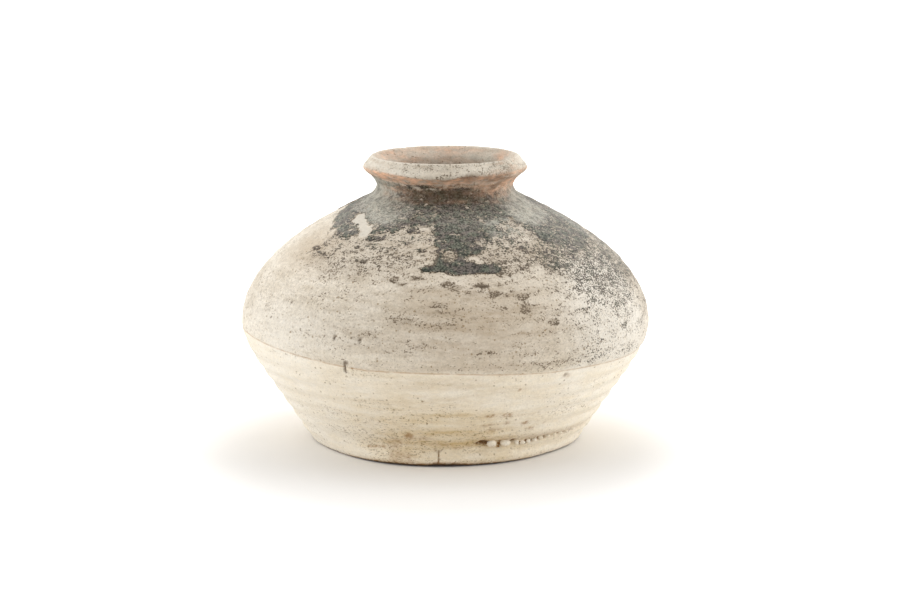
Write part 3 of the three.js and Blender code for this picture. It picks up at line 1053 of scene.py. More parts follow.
class CollarWear:
    """What wear and firing left on the outside of the neck and lip."""

    RIGHT = (46.0, 30.0)
    BAND_WIDTH = 2.7
    WIDER_BAND = ((1.0, -46.0, 36.0), (1.3, 8.0, 30.0))
    UNEVEN_RUST = ((0.20, -42.0, 34.0), (-0.10, *RIGHT), (0.30, 4.0, 32.0))
    RUST_RUNS = ((0.58, -41.0, 34.0), (0.84, 44.0, 32.0))
    CHARRED = ((0.74, 42.0, 24.0), (0.50, 6.0, 24.0))
    SCUFFS = ((0.24, *RIGHT), (0.16, -31.0, 7.0), (0.12, 4.0, 34.0), (-0.12, -62.0, 44.0))
    LESS_BLOOM = ((-0.26, 4.0, 44.0), (-0.3, 50.0, 30.0))
    RIDGE = ((-66.0, 82.6), (-42.0, 81.5), (-27.0, 80.5), (-4.0, 80.0))

    def __init__(self, weather: Weather, places: Places) -> None:
        """Finds the pale lip and the orange band below it.

        Args:
            weather: The jar's wear.
            places: Points on the collar.
        """
        self.turn, self.height, self.drop, self.radius = places
        self.whites = weather.WHITES
        turn, self.below = self.turn, self.drop - float(JAR.drop(np.array(JAR.height)))
        self.fray = weather.lip_fray(turn, self.below)
        self.streak = weather.lip_streak(turn, self.below)
        self.front = fade(np.abs(turn), 16.0, 56.0)
        sag = 1.8 * bump_at(turn, -4.0, 46.0) * (1.0 - 0.7 * smooth(turn, 2.0, 14.0))
        lap = JAR.bevel_length + 0.45 * self.fray + sag - 0.3
        self.pale = fade(self.below, lap - 0.35, lap + 0.45)
        broad = smooth(turn, 8.0, 44.0) * fade(turn, 80.0, 130.0)
        band = self.BAND_WIDTH + bumps(turn, self.WIDER_BAND) + 5.0 * broad + 0.8 * self.streak
        self.orange = (1.0 - self.pale) * fade(self.below, lap + 0.65 * band, lap + 1.25 * band + 0.4)

    def rust(self) -> np.ndarray:
        """Rust brown of the band, of its runs down the neck and of a blush on the lip.

        Returns:
            Shares of the rust.
        """
        turn, height, fray, streak = self.turn, self.height, self.fray, self.streak
        uneven = bumps(turn, self.UNEVEN_RUST) + 0.35 * streak + 0.3 * fray
        band = self.orange * np.clip(0.76 + uneven, 0.1, 1.0)
        drip = 0.7 * bump_at(turn, -18.0, 16.0) * bump_at(height, 76.5, 1.5) * smooth(fray, -0.4, 0.4)
        runs = bumps(turn, self.RUST_RUNS)
        runs *= bump_at(height, 79.0, 4.0) * smooth(streak + fray, -0.6, 0.5)
        neck = 0.5 * self.front * bump_at(height, 77.6, 3.4) * smooth(streak + 0.7 * fray, -0.1, 0.6)
        swirl = 0.8 * bump_at(turn, 46.0, 22.0) * bump_at(height, 76.6, 2.2)
        swirl *= smooth(streak + 0.6 * fray, -0.1, 0.5)
        blush = 0.28 * self.pale * bump_at(turn, 52.0, 32.0) * smooth(streak + fray, -0.25, 0.5)
        return np.maximum.reduce([band, drip, runs, neck, swirl, blush])

    def flecks(self) -> np.ndarray:
        """White flecks: a broken ridge under the lip and single spots.

        Returns:
            Values from 0 to 1.
        """
        turn, fray = self.turn, self.fray
        ridge = np.interp(turn, *np.array(self.RIDGE).T)
        line = fade(np.abs(self.height - ridge), 0.12, 0.5) * smooth(fray, -0.5, 0.1)
        line *= smooth(turn, -68.0, -60.0) * fade(turn, -10.0, 0.0)
        line *= 0.85 * smooth(self.streak + fray, -0.5, 0.5)
        return np.maximum(line, strongest(self.whites, turn, self.drop, self.radius, 0.6 * fray))

    def burn(self) -> np.ndarray:
        """Dark burns on the lip's lower edge and in the orange band.

        Returns:
            Values from 0 to 1.
        """
        turn, mottle = self.turn, self.fray + 0.5 * self.streak
        edge = bump_at(turn, 15.0, 17.0) * bump_at(self.below, JAR.bevel_length + 0.2, 2.2)
        charred = bumps(turn, self.CHARRED)
        edge *= smooth(mottle, -0.4, 0.15)
        return np.maximum(edge, charred * self.orange * smooth(mottle, -0.6, 0.5))

    def soot(self) -> np.ndarray:
        """Soot round the neck, most of it at the front."""
        neck = (1.0 - self.pale) * (1.0 - 0.85 * self.orange) * bump_at(self.height, 78.4, 4.8)
        return neck * (0.13 + 0.60 * self.front + 0.16 * bump_at(self.turn, 40.0, 22.0))

    def cover(self) -> np.ndarray:
        """Glaze that is left: much of it on the neck, little on the lip.

        Returns:
            Shares of the cover.
        """
        scuff = 0.09 * self.streak + bumps(self.turn, self.SCUFFS)
        return (1.0 - self.pale) * (0.80 - 0.62 * self.orange) + self.pale * (0.24 + scuff)

    def film(self, flecks: np.ndarray) -> np.ndarray:
        """Grey film on the sides of the neck and thinly on the lip.

        Args:
            flecks: White flecks, which have no film.

        Returns:
            Shares of the film.
        """
        shine = 1.0 - 0.5 * bump_at(self.turn, 42.0, 26.0)
        neck = (1.0 - self.pale) * (1.0 - self.orange) * (0.92 * (1.0 - self.front) * shine + 0.2 * self.fray)
        lip = self.pale * (0.34 + 0.2 * bump_at(self.turn, *self.RIGHT) + 0.2 * self.streak)
        return np.maximum(neck * (1.0 - flecks), lip)

    def traces(self) -> dict[Trace, np.ndarray]:
        """Gathers the traces that differ from the wall's.

        Returns:
            An array for each of them.
        """
        turn, pale, streak = self.turn, self.pale, self.streak
        flecks, burn = self.flecks(), self.burn()
        bloom = 0.46 + bumps(turn, self.LESS_BLOOM) + 0.2 * streak
        return {
            Trace.FILM: self.film(flecks),
            Trace.RUST: self.rust(),
            Trace.COVER: self.cover() * (1.0 - flecks),
            Trace.SPECKS: 0.42 + 0.4 * streak + 0.46 * bump_at(turn, 46.0, 36.0),
            Trace.STAIN: np.maximum(0.35 * pale * smooth(streak, 0.0, 0.7), 0.35 * burn),
            Trace.CHIP: flecks,
            Trace.DARK: np.maximum(self.soot() * (1.0 - 0.85 * flecks), 0.74 * burn),
            Trace.TAN: pale * (0.33 + 0.16 * self.front - 0.22 * bump_at(turn, 50.0, 32.0) + 0.2 * streak),
            Trace.BLOOM: pale * bloom,
            Trace.BROWN: pale,
        }


WEATHER = Weather()


def turn_outline(name: str, outline: np.ndarray, steps: int, closed: bool) -> Piece:
    """Draws an outline vertex by vertex in edit mode and turns it once round the jar's axis.

    Args:
        name: Name of the new piece.
        outline: Radius and height of each point in millimetres.
        steps: Number of steps round the jar.
        closed: Whether the outline's last point joins its first.

    Returns:
        The turned piece, at the origin.
    """
    points = outline * MM
    bpy.ops.object.select_all(action="DESELECT")
    bpy.ops.mesh.primitive_plane_add(size=MM, location=(0.0, 0.0, 0.0))
    piece = bpy.context.object
    piece.name = name
    piece.data.name = name
    bpy.ops.object.mode_set(mode="EDIT")
    bpy.ops.mesh.select_all(action="SELECT")
    bpy.ops.mesh.merge(type="CENTER")
    bpy.ops.transform.translate(value=(points[0, 0], 0.0, points[0, 1]))
    for step in np.diff(points, axis=0):
        bpy.ops.mesh.extrude_vertices_move(TRANSFORM_OT_translate={"value": (step[0], 0.0, step[1])})
    if closed:
        drawn = bmesh.from_edit_mesh(piece.data)
        for vertex in drawn.verts:
            vertex.select = len(vertex.link_edges) < 2
        drawn.select_flush_mode()
        bmesh.update_edit_mesh(piece.data)
        bpy.ops.mesh.edge_face_add()
    bpy.ops.object.mode_set(mode="OBJECT")
    bpy.ops.object.modifier_add(type="SCREW")
    screw = piece.modifiers[-1]
    screw.axis = "Z"
    screw.angle = 2 * math.pi
    screw.steps = screw.render_steps = steps
    screw.use_merge_vertices = True
    screw.merge_threshold = MERGE_DISTANCE
    bpy.ops.object.modifier_apply(modifier=screw.name)
    bpy.ops.object.mode_set(mode="EDIT")
    bpy.ops.mesh.select_all(action="SELECT")
    bpy.ops.mesh.remove_doubles(threshold=MERGE_DISTANCE)
    bpy.ops.mesh.normals_make_consistent(inside=False)
    bpy.ops.object.mode_set(mode="OBJECT")
    return piece


def points_of(piece: Piece) -> np.ndarray:
    """Reads a piece's vertices.

    Args:
        piece: Piece to read.

    Returns:
        Their places in millimetres.
    """
    flat = np.empty(len(piece.data.vertices) * 3, dtype=np.float32)
    piece.data.vertices.foreach_get("co", flat)
    return flat.reshape(-1, 3).astype(float) / MM


def move_points(piece: Piece, points: np.ndarray) -> None:
    """Writes a piece's vertices, given in millimetres."""
    piece.data.vertices.foreach_set("co", (points * MM).astype(np.float32).ravel())
    piece.data.update()


def shift_points(piece: Piece, places: Places, out: np.ndarray, up: np.ndarray) -> None:
    """Moves a piece's vertices.

    Args:
        piece: Piece to shape.
        places: Where its vertices lie.
        out: How far each goes outwards in millimetres.
        up: How far each goes up in millimetres.
    """
    points = points_of(piece)
    points[:, :2] *= (1.0 + out / places.radius)[:, None]
    points[:, 2] += up
    move_points(piece, points)


def pick(*pieces: Piece) -> None:
    """Selects pieces and makes the last of them active."""
    bpy.ops.object.select_all(action="DESELECT")
    for piece in pieces:
        piece.select_set(True)
    bpy.context.view_layer.objects.active = pieces[-1]


def leave_traces(piece: Piece, found: dict[Trace, np.ndarray]) -> None:
    """Stores traces on a piece as point attributes.

    Args:
        piece: Piece to mark.
        found: One value for each vertex and trace.
    """
    for trace, values in found.items():
        layer = piece.data.attributes.new(trace.value, "FLOAT", "POINT")
        layer.data.foreach_set("value", values.astype(np.float32))


class Mottle(NamedTuple):
    """Cloudy noise as a sketch makes it, eased from a start at its low level to an end at its high one."""

    scale: float
    detail: float
    rough: float
    stretch: float
    low: float
    high: float
    start: float = 0.0
    end: float = 1.0


class NodeSketch:
    """Adds nodes to one tree and wires them."""

    def __init__(self, tree: bpy.types.NodeTree) -> None:
        """Takes the tree that the nodes go in."""
        self.tree = tree

    def add(self, kind: str, **settings: object) -> bpy.types.Node:
        """Adds a node.

        Args:
            kind: Type of the node.
            **settings: Its own properties.

        Returns:
            The node.
        """
        node = self.tree.nodes.new(kind)
        for name, value in settings.items():
            setattr(node, name, value)
        return node

    def put(self, socket: Socket, value: object) -> None:
        """Wires a socket to another, or sets its value.

        Args:
            socket: Input socket.
            value: Output socket or plain value.
        """
        if isinstance(value, Socket):
            self.tree.links.new(value, socket)
        else:
            socket.default_value = value

    def fill(self, node: bpy.types.Node, inputs: dict[str, object]) -> bpy.types.Node:
        """Fills a node's inputs.

        Args:
            node: Node to fill.
            inputs: Output sockets or plain values by the inputs' names.

        Returns:
            The node.
        """
        for name, value in inputs.items():
            self.put(node.inputs[name], value)
        return node

    def math(self, operation: str, *values: object) -> Socket:
        """Does arithmetic on one or two values.

        Args:
            operation: Name of the operation.
            *values: Output sockets or plain numbers.

        Returns:
            The result.
        """
        node = self.add("ShaderNodeMath", operation=operation)
        for socket, value in zip(node.inputs, values):
            self.put(socket, value)
        return node.outputs[0]

    def times(self, first: object, second: object) -> Socket:
        """Multiplies two values."""
        return self.math("MULTIPLY", first, second)

    def plus(self, first: object, second: object) -> Socket:
        """Adds two values."""
        return self.math("ADD", first, second)

    def minus(self, first: object, second: object) -> Socket:
        """Takes the second value from the first."""
        return self.math("SUBTRACT", first, second)

    def vector(self, operation: str, *values: object) -> bpy.types.Node:
        """Does arithmetic on vectors.

        Args:
            operation: Name of the operation.
            *values: Output sockets or plain vectors.

        Returns:
            The node, because its result is a vector or a number.
        """
        node = self.add("ShaderNodeVectorMath", operation=operation)
        for socket, value in zip(node.inputs, values):
            self.put(socket, value)
        return node

    def ease(
        self, value: object, low: object, high: object, start: object = 0.0, end: object = 1.0
    ) -> Socket:
        """Eases a value.

        Args:
            value: Value to ease.
            low: Where the result is start.
            high: Where the result is end.
            start: Result at low.
            end: Result at high.

        Returns:
            The eased value.
        """
        node = self.add("ShaderNodeMapRange", interpolation_type="SMOOTHSTEP")
        for index, item in enumerate((value, low, high, start, end)):
            self.put(node.inputs[index], item)
        return node.outputs[0]

    def mix(self, share: object, first: object, second: object, blend: str = "MIX") -> Socket:
        """Mixes two colours.

        Args:
            share: Share of the second colour.
            first: First colour.
            second: Second colour.
            blend: How they are blended.

        Returns:
            The mixed colour.
        """
        node = self.add("ShaderNodeMix", data_type="RGBA", blend_type=blend)
        self.put(node.inputs["Factor"], share)
        self.put(node.inputs[6], first)
        self.put(node.inputs[7], second)
        return node.outputs[2]

    def trace(self, trace: Trace) -> Socket:
        """Reads one of the piece's traces."""
        return self.add("ShaderNodeAttribute", attribute_name=trace.value).outputs["Fac"]

    def place(self, stretch: float = 1.0) -> Socket:
        """Place on the jar in metres, so many times finer up the jar than round it."""
        middle = self.add("ShaderNodeTexCoord").outputs["Object"]
        return self.vector("MULTIPLY", middle, (1.0, 1.0, stretch)).outputs[0]

    def noise(self, scale: float, detail: float, rough: float, stretch: float = 1.0) -> Socket:
        """Cloudy noise of about 0.5.

        Args:
            scale: Number of its cells in a metre.
            detail: Number of finer copies.
            rough: Share of the finer copies.
            stretch: How many times finer it is up the jar than round it.

        Returns:
            The noise.
        """
        inputs = {"Vector": self.place(stretch), "Scale": scale, "Detail": detail, "Roughness": rough}
        return self.fill(self.add("ShaderNodeTexNoise"), inputs).outputs["Fac"]

    def mottle(self, m: Mottle) -> Socket:
        """Makes a mottle."""
        return self.ease(self.noise(m.scale, m.detail, m.rough, m.stretch), m.low, m.high, m.start, m.end)

    def group(self, tree: bpy.types.NodeTree, **inputs: object) -> bpy.types.Node:
        """Places a node group and fills its inputs."""
        return self.fill(self.add("ShaderNodeGroup", node_tree=tree), inputs)


class SharedEffects:
    """Effects that more than one finish uses, each built once as a node group."""

    WOBBLE = 0.6 * MM
    GRAINS = Mottle(1900.0, 2.0, 0.6, 1.2, 0.30, 0.70)
    FLECKS = Mottle(850.0, 2.0, 0.6, 1.5, 0.30, 0.70)
    ISLANDS = Mottle(260.0, 3.0, 0.55, 2.4, 0.30, 0.70)
    TINT = Mottle(380.0, 2.0, 0.5, 1.0, 0.38, 0.62)

    def __init__(self) -> None:
        """Builds the groups."""
        self.clay_grain = self._clay_grain()
        self.dark_specks = self._dark_specks()
        self.worn_coat = self._worn_coat()

    @staticmethod
    def _new(
        name: str, inputs: dict[str, str], outputs: dict[str, str]
    ) -> tuple[NodeSketch, bpy.types.Node, bpy.types.Node]:
        """Makes an empty group.

        Args:
            name: Name of the group.
            inputs: Kind of each input socket by name.
            outputs: Kind of each output socket by name.

        Returns:
            A sketch of the group, its input node and its output node.
        """
        tree = bpy.data.node_groups.new(name, "ShaderNodeTree")
        for socket, kind in inputs.items():
            tree.interface.new_socket(socket, in_out="INPUT", socket_type=kind)
        for socket, kind in outputs.items():
            tree.interface.new_socket(socket, in_out="OUTPUT", socket_type=kind)
        sketch = NodeSketch(tree)
        return sketch, sketch.add("NodeGroupInput"), sketch.add("NodeGroupOutput")

    def _clay_grain(self) -> bpy.types.NodeTree:
        """Mottled, streaked and grainy fired clay: a colour between two and the height of its grain.

        Returns:
            The group.
        """
        s, given, result = self._new(
            "clay_grain",
            {"Pale": "NodeSocketColor", "Deep": "NodeSocketColor", "Grit": "NodeSocketFloat"},
            {"Color": "NodeSocketColor", "Height": "NodeSocketFloat"},
        )
        clouds = s.noise(70.0, 3.0, 0.55)
        streaks = s.noise(110.0, 3.0, 0.6, 6.0)
        both = s.plus(s.times(clouds, 0.5), s.times(streaks, 0.5))
        share = s.ease(both, 0.36, 0.64)
        colour = s.mix(share, given.outputs["Pale"], given.outputs["Deep"])
        grain = s.noise(1800.0, 2.0, 0.6)
        mottle = s.noise(700.0, 2.0, 0.55, 1.3)
        blend = s.plus(s.times(grain, 0.62), s.times(mottle, 0.38))
        shade = s.ease(blend, 0.34, 0.66, 0.70, 1.14)
        grey = s.add("ShaderNodeCombineXYZ")
        for index in range(3):
            s.put(grey.inputs[index], shade)
        toned = s.mix(given.outputs["Grit"], colour, s.mix(1.0, colour, grey.outputs[0], "MULTIPLY"))
        s.put(result.inputs["Color"], toned)
        s.put(result.inputs["Height"], s.plus(grain, s.times(streaks, 0.6)))
        return s.tree

    def _dark_specks(self) -> bpy.types.NodeTree:
        """Small irregular specks, as many as the density says.

        Returns:
            The group.
        """
        s, given, result = self._new(
            "dark_specks",
            {"Density": "NodeSocketFloat", "Scale": "NodeSocketFloat"},
            {"Mask": "NodeSocketFloat"},
        )
        place = s.place()
        wobble = s.fill(s.add("ShaderNodeTexNoise"), {"Vector": place, "Scale": 1700.0})
        shifted = s.vector("MULTIPLY_ADD", wobble.outputs["Color"], (self.WOBBLE,) * 3, place)
        cells = s.add("ShaderNodeTexVoronoi", feature="F1")
        s.fill(cells, {"Vector": shifted.outputs[0], "Scale": given.outputs["Scale"]})
        draws = s.add("ShaderNodeSeparateColor")
        s.put(draws.inputs[0], cells.outputs["Color"])
        size = s.plus(s.times(draws.outputs[1], 0.25), 0.11)
        dot = s.ease(cells.outputs["Distance"], size, s.times(size, 0.55))
        chosen = s.math("LESS_THAN", draws.outputs[0], given.outputs["Density"])
        depth = s.plus(s.times(draws.outputs[2], 0.55), 0.45)
        s.put(result.inputs["Mask"], s.times(s.times(dot, chosen), depth))
        return s.tree

    def _worn_coat(self) -> bpy.types.NodeTree:
        """What is left of a coat: solid where its cover is full, grains and islands where it is thin.

        Returns:
            The group.
        """
        s, given, result = self._new(
            "worn_coat",
            {"Cover": "NodeSocketFloat", "Fine": "NodeSocketFloat"},
            {"Mask": "NodeSocketFloat", "Tone": "NodeSocketFloat", "Tint": "NodeSocketFloat"},
        )
        grains = s.mottle(self.GRAINS)
        flecks = s.mottle(self.FLECKS)
        islands = s.mottle(self.ISLANDS)
        finer = s.times(given.outputs["Fine"], 0.2)
        level = s.plus(s.times(grains, s.plus(0.45, finer)), s.times(flecks, s.minus(0.31, finer)))
        level = s.plus(level, s.times(islands, 0.24))
        gate = s.minus(1.0, given.outputs["Cover"])
        mask = s.ease(level, s.minus(gate, 0.18), s.plus(gate, 0.26))
        s.put(result.inputs["Mask"], s.times(mask, s.ease(given.outputs["Cover"], 0.02, 0.14)))
        coarse = s.noise(620.0, 2.0, 0.5)
        fine = s.noise(1700.0, 1.0, 0.5)
        s.put(result.inputs["Tone"], s.plus(s.times(coarse, 0.34), s.times(fine, 0.66)))
        s.put(result.inputs["Tint"], s.mottle(self.TINT))
        return s.tree


@dataclass(frozen=True)
class ClayColours:
    """Colours of the bare clay and of what lies on it."""

    foot_pale: Colour = srgb(248, 241, 227)
    foot_deep: Colour = srgb(243, 232, 211)
    worn_pale: Colour = srgb(228, 219, 204)
    worn_deep: Colour = srgb(209, 198, 180)
    tan: Colour = srgb(188, 171, 148)
    foot_tan: Colour = srgb(204, 177, 124)
    speck: Colour = srgb(124, 96, 46)
    # Brown of dirt stains, also painted as shade in a band along the heel.
    soil_and_painted_shade: Colour = srgb(154, 112, 62)
    # pit: dark brown of soot, burns, cracks and pits, also painted as shade along the heel, in the notches
    # and down the throat.
    pit: Colour = srgb(74, 52, 26)
    glaze_green: Colour = srgb(32, 36, 26)
    glaze_plum: Colour = srgb(44, 39, 33)
    glaze_grey: Colour = srgb(114, 105, 97)
    glaze_sage: Colour = srgb(104, 107, 92)
    glaze_brown: Colour = srgb(66, 55, 41)
    glaze_thin: Colour = srgb(128, 111, 90)
    film: Colour = srgb(194, 190, 176)
    rust: Colour = srgb(235, 189, 156)
    rust_deep: Colour = srgb(148, 102, 70)
    dip_line: Colour = srgb(172, 131, 84)
    chip: Colour = srgb(206, 199, 186)
    bloom: Colour = srgb(232, 227, 217)


@dataclass(frozen=True)
class WeatheredClay:
    """Fired clay with the remains of its glaze, its film, stains, specks and chips."""

    TAN_SHADE = Mottle(300.0, 3.0, 0.6, 3.0, 0.25, 0.75, 0.55)
    DASHES = Mottle(950.0, 3.0, 0.7, 2.2, 0.555, 0.625)
    BLOOM = Mottle(1300.0, 3.0, 0.6, 1.0, 0.30, 0.66, 0.35)
    SMUDGES = Mottle(330.0, 4.0, 0.68, 2.6, 0.50, 0.72, 0.0, 0.55)
    FLAKES = Mottle(700.0, 4.0, 0.65, 1.0, 0.34, 0.62, 0.66)
    SOIL = Mottle(900.0, 4.0, 0.7, 1.6, 0.34, 0.54)
    BROKEN_LINE = Mottle(260.0, 4.0, 0.75, 1.0, 0.34, 0.58, 0.25)
    VEIL = Mottle(300.0, 4.0, 0.7, 1.0, 0.30, 0.62, 0.4)
    SOOT_AND_SHADE_MOTTLE = Mottle(800.0, 4.0, 0.7, 1.0, 0.30, 0.60, 0.94, 0.78)

    name: str
    effects: SharedEffects
    colours: ClayColours = ClayColours()
    clay_roughness: float = 0.93
    glaze_roughness: float = 0.66
    gloss: float = 0.25
    sheen: float = 0.08
    sheen_roughness: float = 0.5
    speck_share: float = 0.66
    speck_depth: float = 0.2
    coat_height: float = 0.30
    relief: float = 0.4
    grain_height: float = 0.35 * MM

    def build(self) -> bpy.types.Material:
        """Makes the material.

        Returns:
            A material that reads the traces on its piece.
        """
        material = bpy.data.materials.new(self.name)
        material.use_nodes = True
        s = NodeSketch(material.node_tree)
        shader = material.node_tree.nodes["Principled BSDF"]
        clay, height = self.bare_clay(s)
        spots = self.specks(s)
        colour = s.mix(s.times(spots, self.speck_share), clay, self.colours.speck)
        colour = self.dip_line(s, colour)
        coat = s.group(self.effects.worn_coat, Cover=s.trace(Trace.COVER), Fine=s.trace(Trace.BLOOM))
        colour = self.glaze(s, colour, coat)
        colour = self.burns(s, colour)
        mask = coat.outputs["Mask"]
        height = s.plus(height, s.times(mask, self.coat_height))
        height = s.minus(height, s.times(spots, self.speck_depth))
        bump = s.add("ShaderNodeBump")
        s.fill(bump, {"Strength": self.relief, "Distance": self.grain_height, "Height": height})
        finish = {
            "Base Color": colour,
            "Roughness": s.ease(mask, 0.0, 1.0, self.clay_roughness, self.glaze_roughness),
            "Specular IOR Level": self.gloss,
            "Sheen Weight": self.sheen,
            "Sheen Roughness": self.sheen_roughness,
            "Normal": bump.outputs[0],
        }
        s.fill(shader, finish)
        return material

    def bare_clay(self, s: NodeSketch) -> tuple[Socket, Socket]:
        """Clay below and above the dip line, with its tan, chips and dirt stains, the tan and stains partly
        painted shade.

        Args:
            s: Sketch of the material's nodes.

        Returns:
            The clay's colour and the height of its grain.
        """
        c = self.colours
        foot = s.group(self.effects.clay_grain, Pale=c.foot_pale, Deep=c.foot_deep, Grit=0.32)
        worn = s.group(self.effects.clay_grain, Pale=c.worn_pale, Deep=c.worn_deep, Grit=0.64)
        upper = s.ease(self.ragged_line(s, 0.9), -0.3, 0.5)
        shade = s.mottle(self.TAN_SHADE)
        # The tan trace is partly painted shade at the upper left.
        worn_colour = s.mix(s.times(s.trace(Trace.TAN), shade), worn.outputs["Color"], c.tan)
        # On the foot the ochre flush turns partway to the darker tan just below the dip line: painted shade
        # on the upper front of the foot.
        below_line = s.ease(s.trace(Trace.ABOVE_DIP), -16.0, -4.0, 0.0, 0.55)
        foot_flush_and_painted_shade = s.mix(below_line, c.foot_tan, c.tan)
        foot_colour = s.mix(s.times(s.trace(Trace.TAN), shade), foot.outputs["Color"], foot_flush_and_painted_shade)
        dash = s.mottle(self.DASHES)
        dash_share = s.ease(s.trace(Trace.SPECKS), 0.40, 0.88, 0.0, 0.66)
        foot_colour = s.mix(s.times(dash, dash_share), foot_colour, c.speck)
        untanned = s.minus(1.0, s.trace(Trace.TAN))
        thin_wear = s.times(s.ease(s.trace(Trace.ABOVE_DIP), 9.0, 1.0, 0.0, 0.4), untanned)
        colour = s.mix(upper, foot_colour, s.mix(thin_wear, worn_colour, foot_colour))
        bloom = s.mottle(self.BLOOM)
        colour = s.mix(s.times(s.trace(Trace.BLOOM), bloom), colour, c.bloom)
        cloud = s.mottle(self.SMUDGES)
        worn_share = s.times(upper, s.minus(1.0, s.trace(Trace.BLOOM)))
        smudge = s.times(s.times(cloud, s.trace(Trace.SPECKS)), worn_share)
        colour = s.mix(smudge, colour, c.glaze_thin)
        flaked = s.mottle(self.FLAKES)
        colour = s.mix(s.times(s.trace(Trace.CHIP), flaked), colour, c.chip)
        soil_noise = s.mottle(self.SOIL)
        # The stain includes the brown band painted along the heel as shade.
        return s.mix(s.times(s.trace(Trace.STAIN), soil_noise), colour, c.soil_and_painted_shade), worn.outputs["Height"]

    def ragged_line(self, s: NodeSketch, reach: float) -> Socket:
        """Height above the dip line in millimetres, frayed by a reach."""
        fray = s.noise(900.0, 3.0, 0.6)
        return s.plus(s.trace(Trace.ABOVE_DIP), s.times(s.minus(fray, 0.5), reach))

    def specks(self, s: NodeSketch) -> Socket:
        """Scatters olive specks of two sizes, fewer on chips.

        Args:
            s: Sketch of the material's nodes.

        Returns:
            Share of the specks.
        """
        density = s.trace(Trace.SPECKS)
        large = s.group(self.effects.dark_specks, Density=s.times(density, 0.8), Scale=760.0)
        small = s.group(self.effects.dark_specks, Density=density, Scale=1300.0)
        spots = s.math("MAXIMUM", large.outputs["Mask"], s.times(small.outputs["Mask"], 0.75))
        return s.times(spots, s.minus(1.0, s.times(s.trace(Trace.CHIP), 0.8)))

    def dip_line(self, s: NodeSketch, colour: Socket) -> Socket:
        """Adds the fine broken line where the glaze once ended.

        Args:
            s: Sketch of the material's nodes.
            colour: Colour below.

        Returns:
            The colour with the line.
        """
        broken = s.mottle(self.BROKEN_LINE)
        line = s.times(s.ease(s.math("ABSOLUTE", self.ragged_line(s, 0.35)), 0.38, 0.08), broken)
        return s.mix(s.times(line, 0.52), colour, self.colours.dip_line)

    def glaze(self, s: NodeSketch, colour: Socket, coat: bpy.types.Node) -> Socket:
        """Lays the remains of the dark glaze and the grey film over a colour.

        Args:
            s: Sketch of the material's nodes.
            colour: Colour below.
            coat: The placed group of the worn coat.

        Returns:
            The colour with glaze and film.
        """
        c = self.colours
        mask, tint = coat.outputs["Mask"], coat.outputs["Tint"]
        grain = s.ease(coat.outputs["Tone"], 0.40, 0.60)
        deep = s.mix(tint, c.glaze_green, c.glaze_plum)
        thick = s.ease(s.trace(Trace.COVER), 0.80, 0.94, 0.0, 0.2)
        pale = s.mix(thick, s.mix(tint, c.glaze_sage, c.glaze_grey), deep)
        tone = s.mix(grain, deep, pale)
        tone = s.mix(s.trace(Trace.BROWN), tone, c.glaze_brown)
        hazy = s.ease(s.trace(Trace.COVER), 0.22, 0.55, 0.0, 0.34)
        hazy = s.times(hazy, s.ease(s.trace(Trace.BLOOM), 0.1, 0.8, 1.0, 0.2))
        haze = s.mix(hazy, colour, c.glaze_thin)
        thin = s.mix(s.ease(mask, 0.0, 0.7, 0.0, 0.9), haze, c.glaze_thin)
        solid = s.times(s.ease(mask, 0.30, 0.90), s.ease(s.trace(Trace.BROWN), 0.3, 1.0, 1.0, 0.5))
        glazed = s.mix(solid, thin, tone)
        veil = s.mottle(self.VEIL)
        steady = s.ease(s.trace(Trace.FILM), 0.5, 0.95, 0.40, 0.72)
        veil = s.times(veil, s.ease(grain, 0.1, 0.9, steady, 1.0))
        filmed = s.mix(s.times(s.trace(Trace.FILM), veil), glazed, c.film)
        return s.mix(s.times(s.trace(Trace.BLOOM), 0.05), filmed, c.bloom)

    def burns(self, s: NodeSketch, colour: Socket) -> Socket:
        """Adds rust brown burns and the dark trace: soot, dark brown in cracks and pits, and painted shade
        along the heel, in the notches and down the throat.

        Args:
            s: Sketch of the material's nodes.
            colour: Colour below.

        Returns:
            The colour with the burns.
        """
        c = self.colours
        rust_noise = s.noise(300.0, 5.0, 0.7, 2.4)
        rust_colour = s.mix(s.ease(rust_noise, 0.35, 0.65), c.rust, c.rust_deep)
        rust = s.times(s.trace(Trace.RUST), s.ease(rust_noise, 0.70, 0.40, 0.45, 1.0))
        burnt = s.mix(rust, colour, rust_colour)
        # This mottle breaks up the dark trace, soot and painted shade alike.
        soot = s.mottle(self.SOOT_AND_SHADE_MOTTLE)
        return s.mix(s.times(s.trace(Trace.DARK), soot), burnt, c.pit)


@dataclass
class JarPiece:
    """A piece of the jar that takes the place of one solid."""

    node: str
    slot: str
    steps: int = 720
    sharp_angle: float = 40.0

    @property
    def name(self) -> str:
        """Name of the piece's object."""
        return self.node + "_look"

    def dress(self, piece: Piece, material: bpy.types.Material) -> None:
        """Gives the piece its finish and its place in the model.

        Args:
            piece: Piece to dress.
            material: Its finish.
        """
        pick(piece)
        bpy.ops.object.shade_smooth_by_angle(angle=math.radians(self.sharp_angle))
        piece.data.materials.clear()
        piece.data.materials.append(material)
        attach(piece, "root")
        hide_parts(self.node)


@dataclass
class WallSection(JarPiece):
    """A clay section or slip layer of the wall between two flat joints."""

    low: float = 0.0
    high: float = JAR.collar_seat
    row: float = 0.55
    inner_row: float = 3.0

    def build(self) -> Piece:
        """Turns the section, weathers its outside and marks its traces.

        Returns:
            The finished mesh, not yet dressed.
        """
        outside = evenly(JAR.between(JAR.wall(), self.low, self.high), self.row)
        inside = evenly(JAR.between(JAR.hollow(), self.low, self.high), self.inner_row)[::-1]
        piece = turn_outline(self.name, np.vstack([outside, inside]), self.steps, True)
        weather_wall(piece)
        return piece


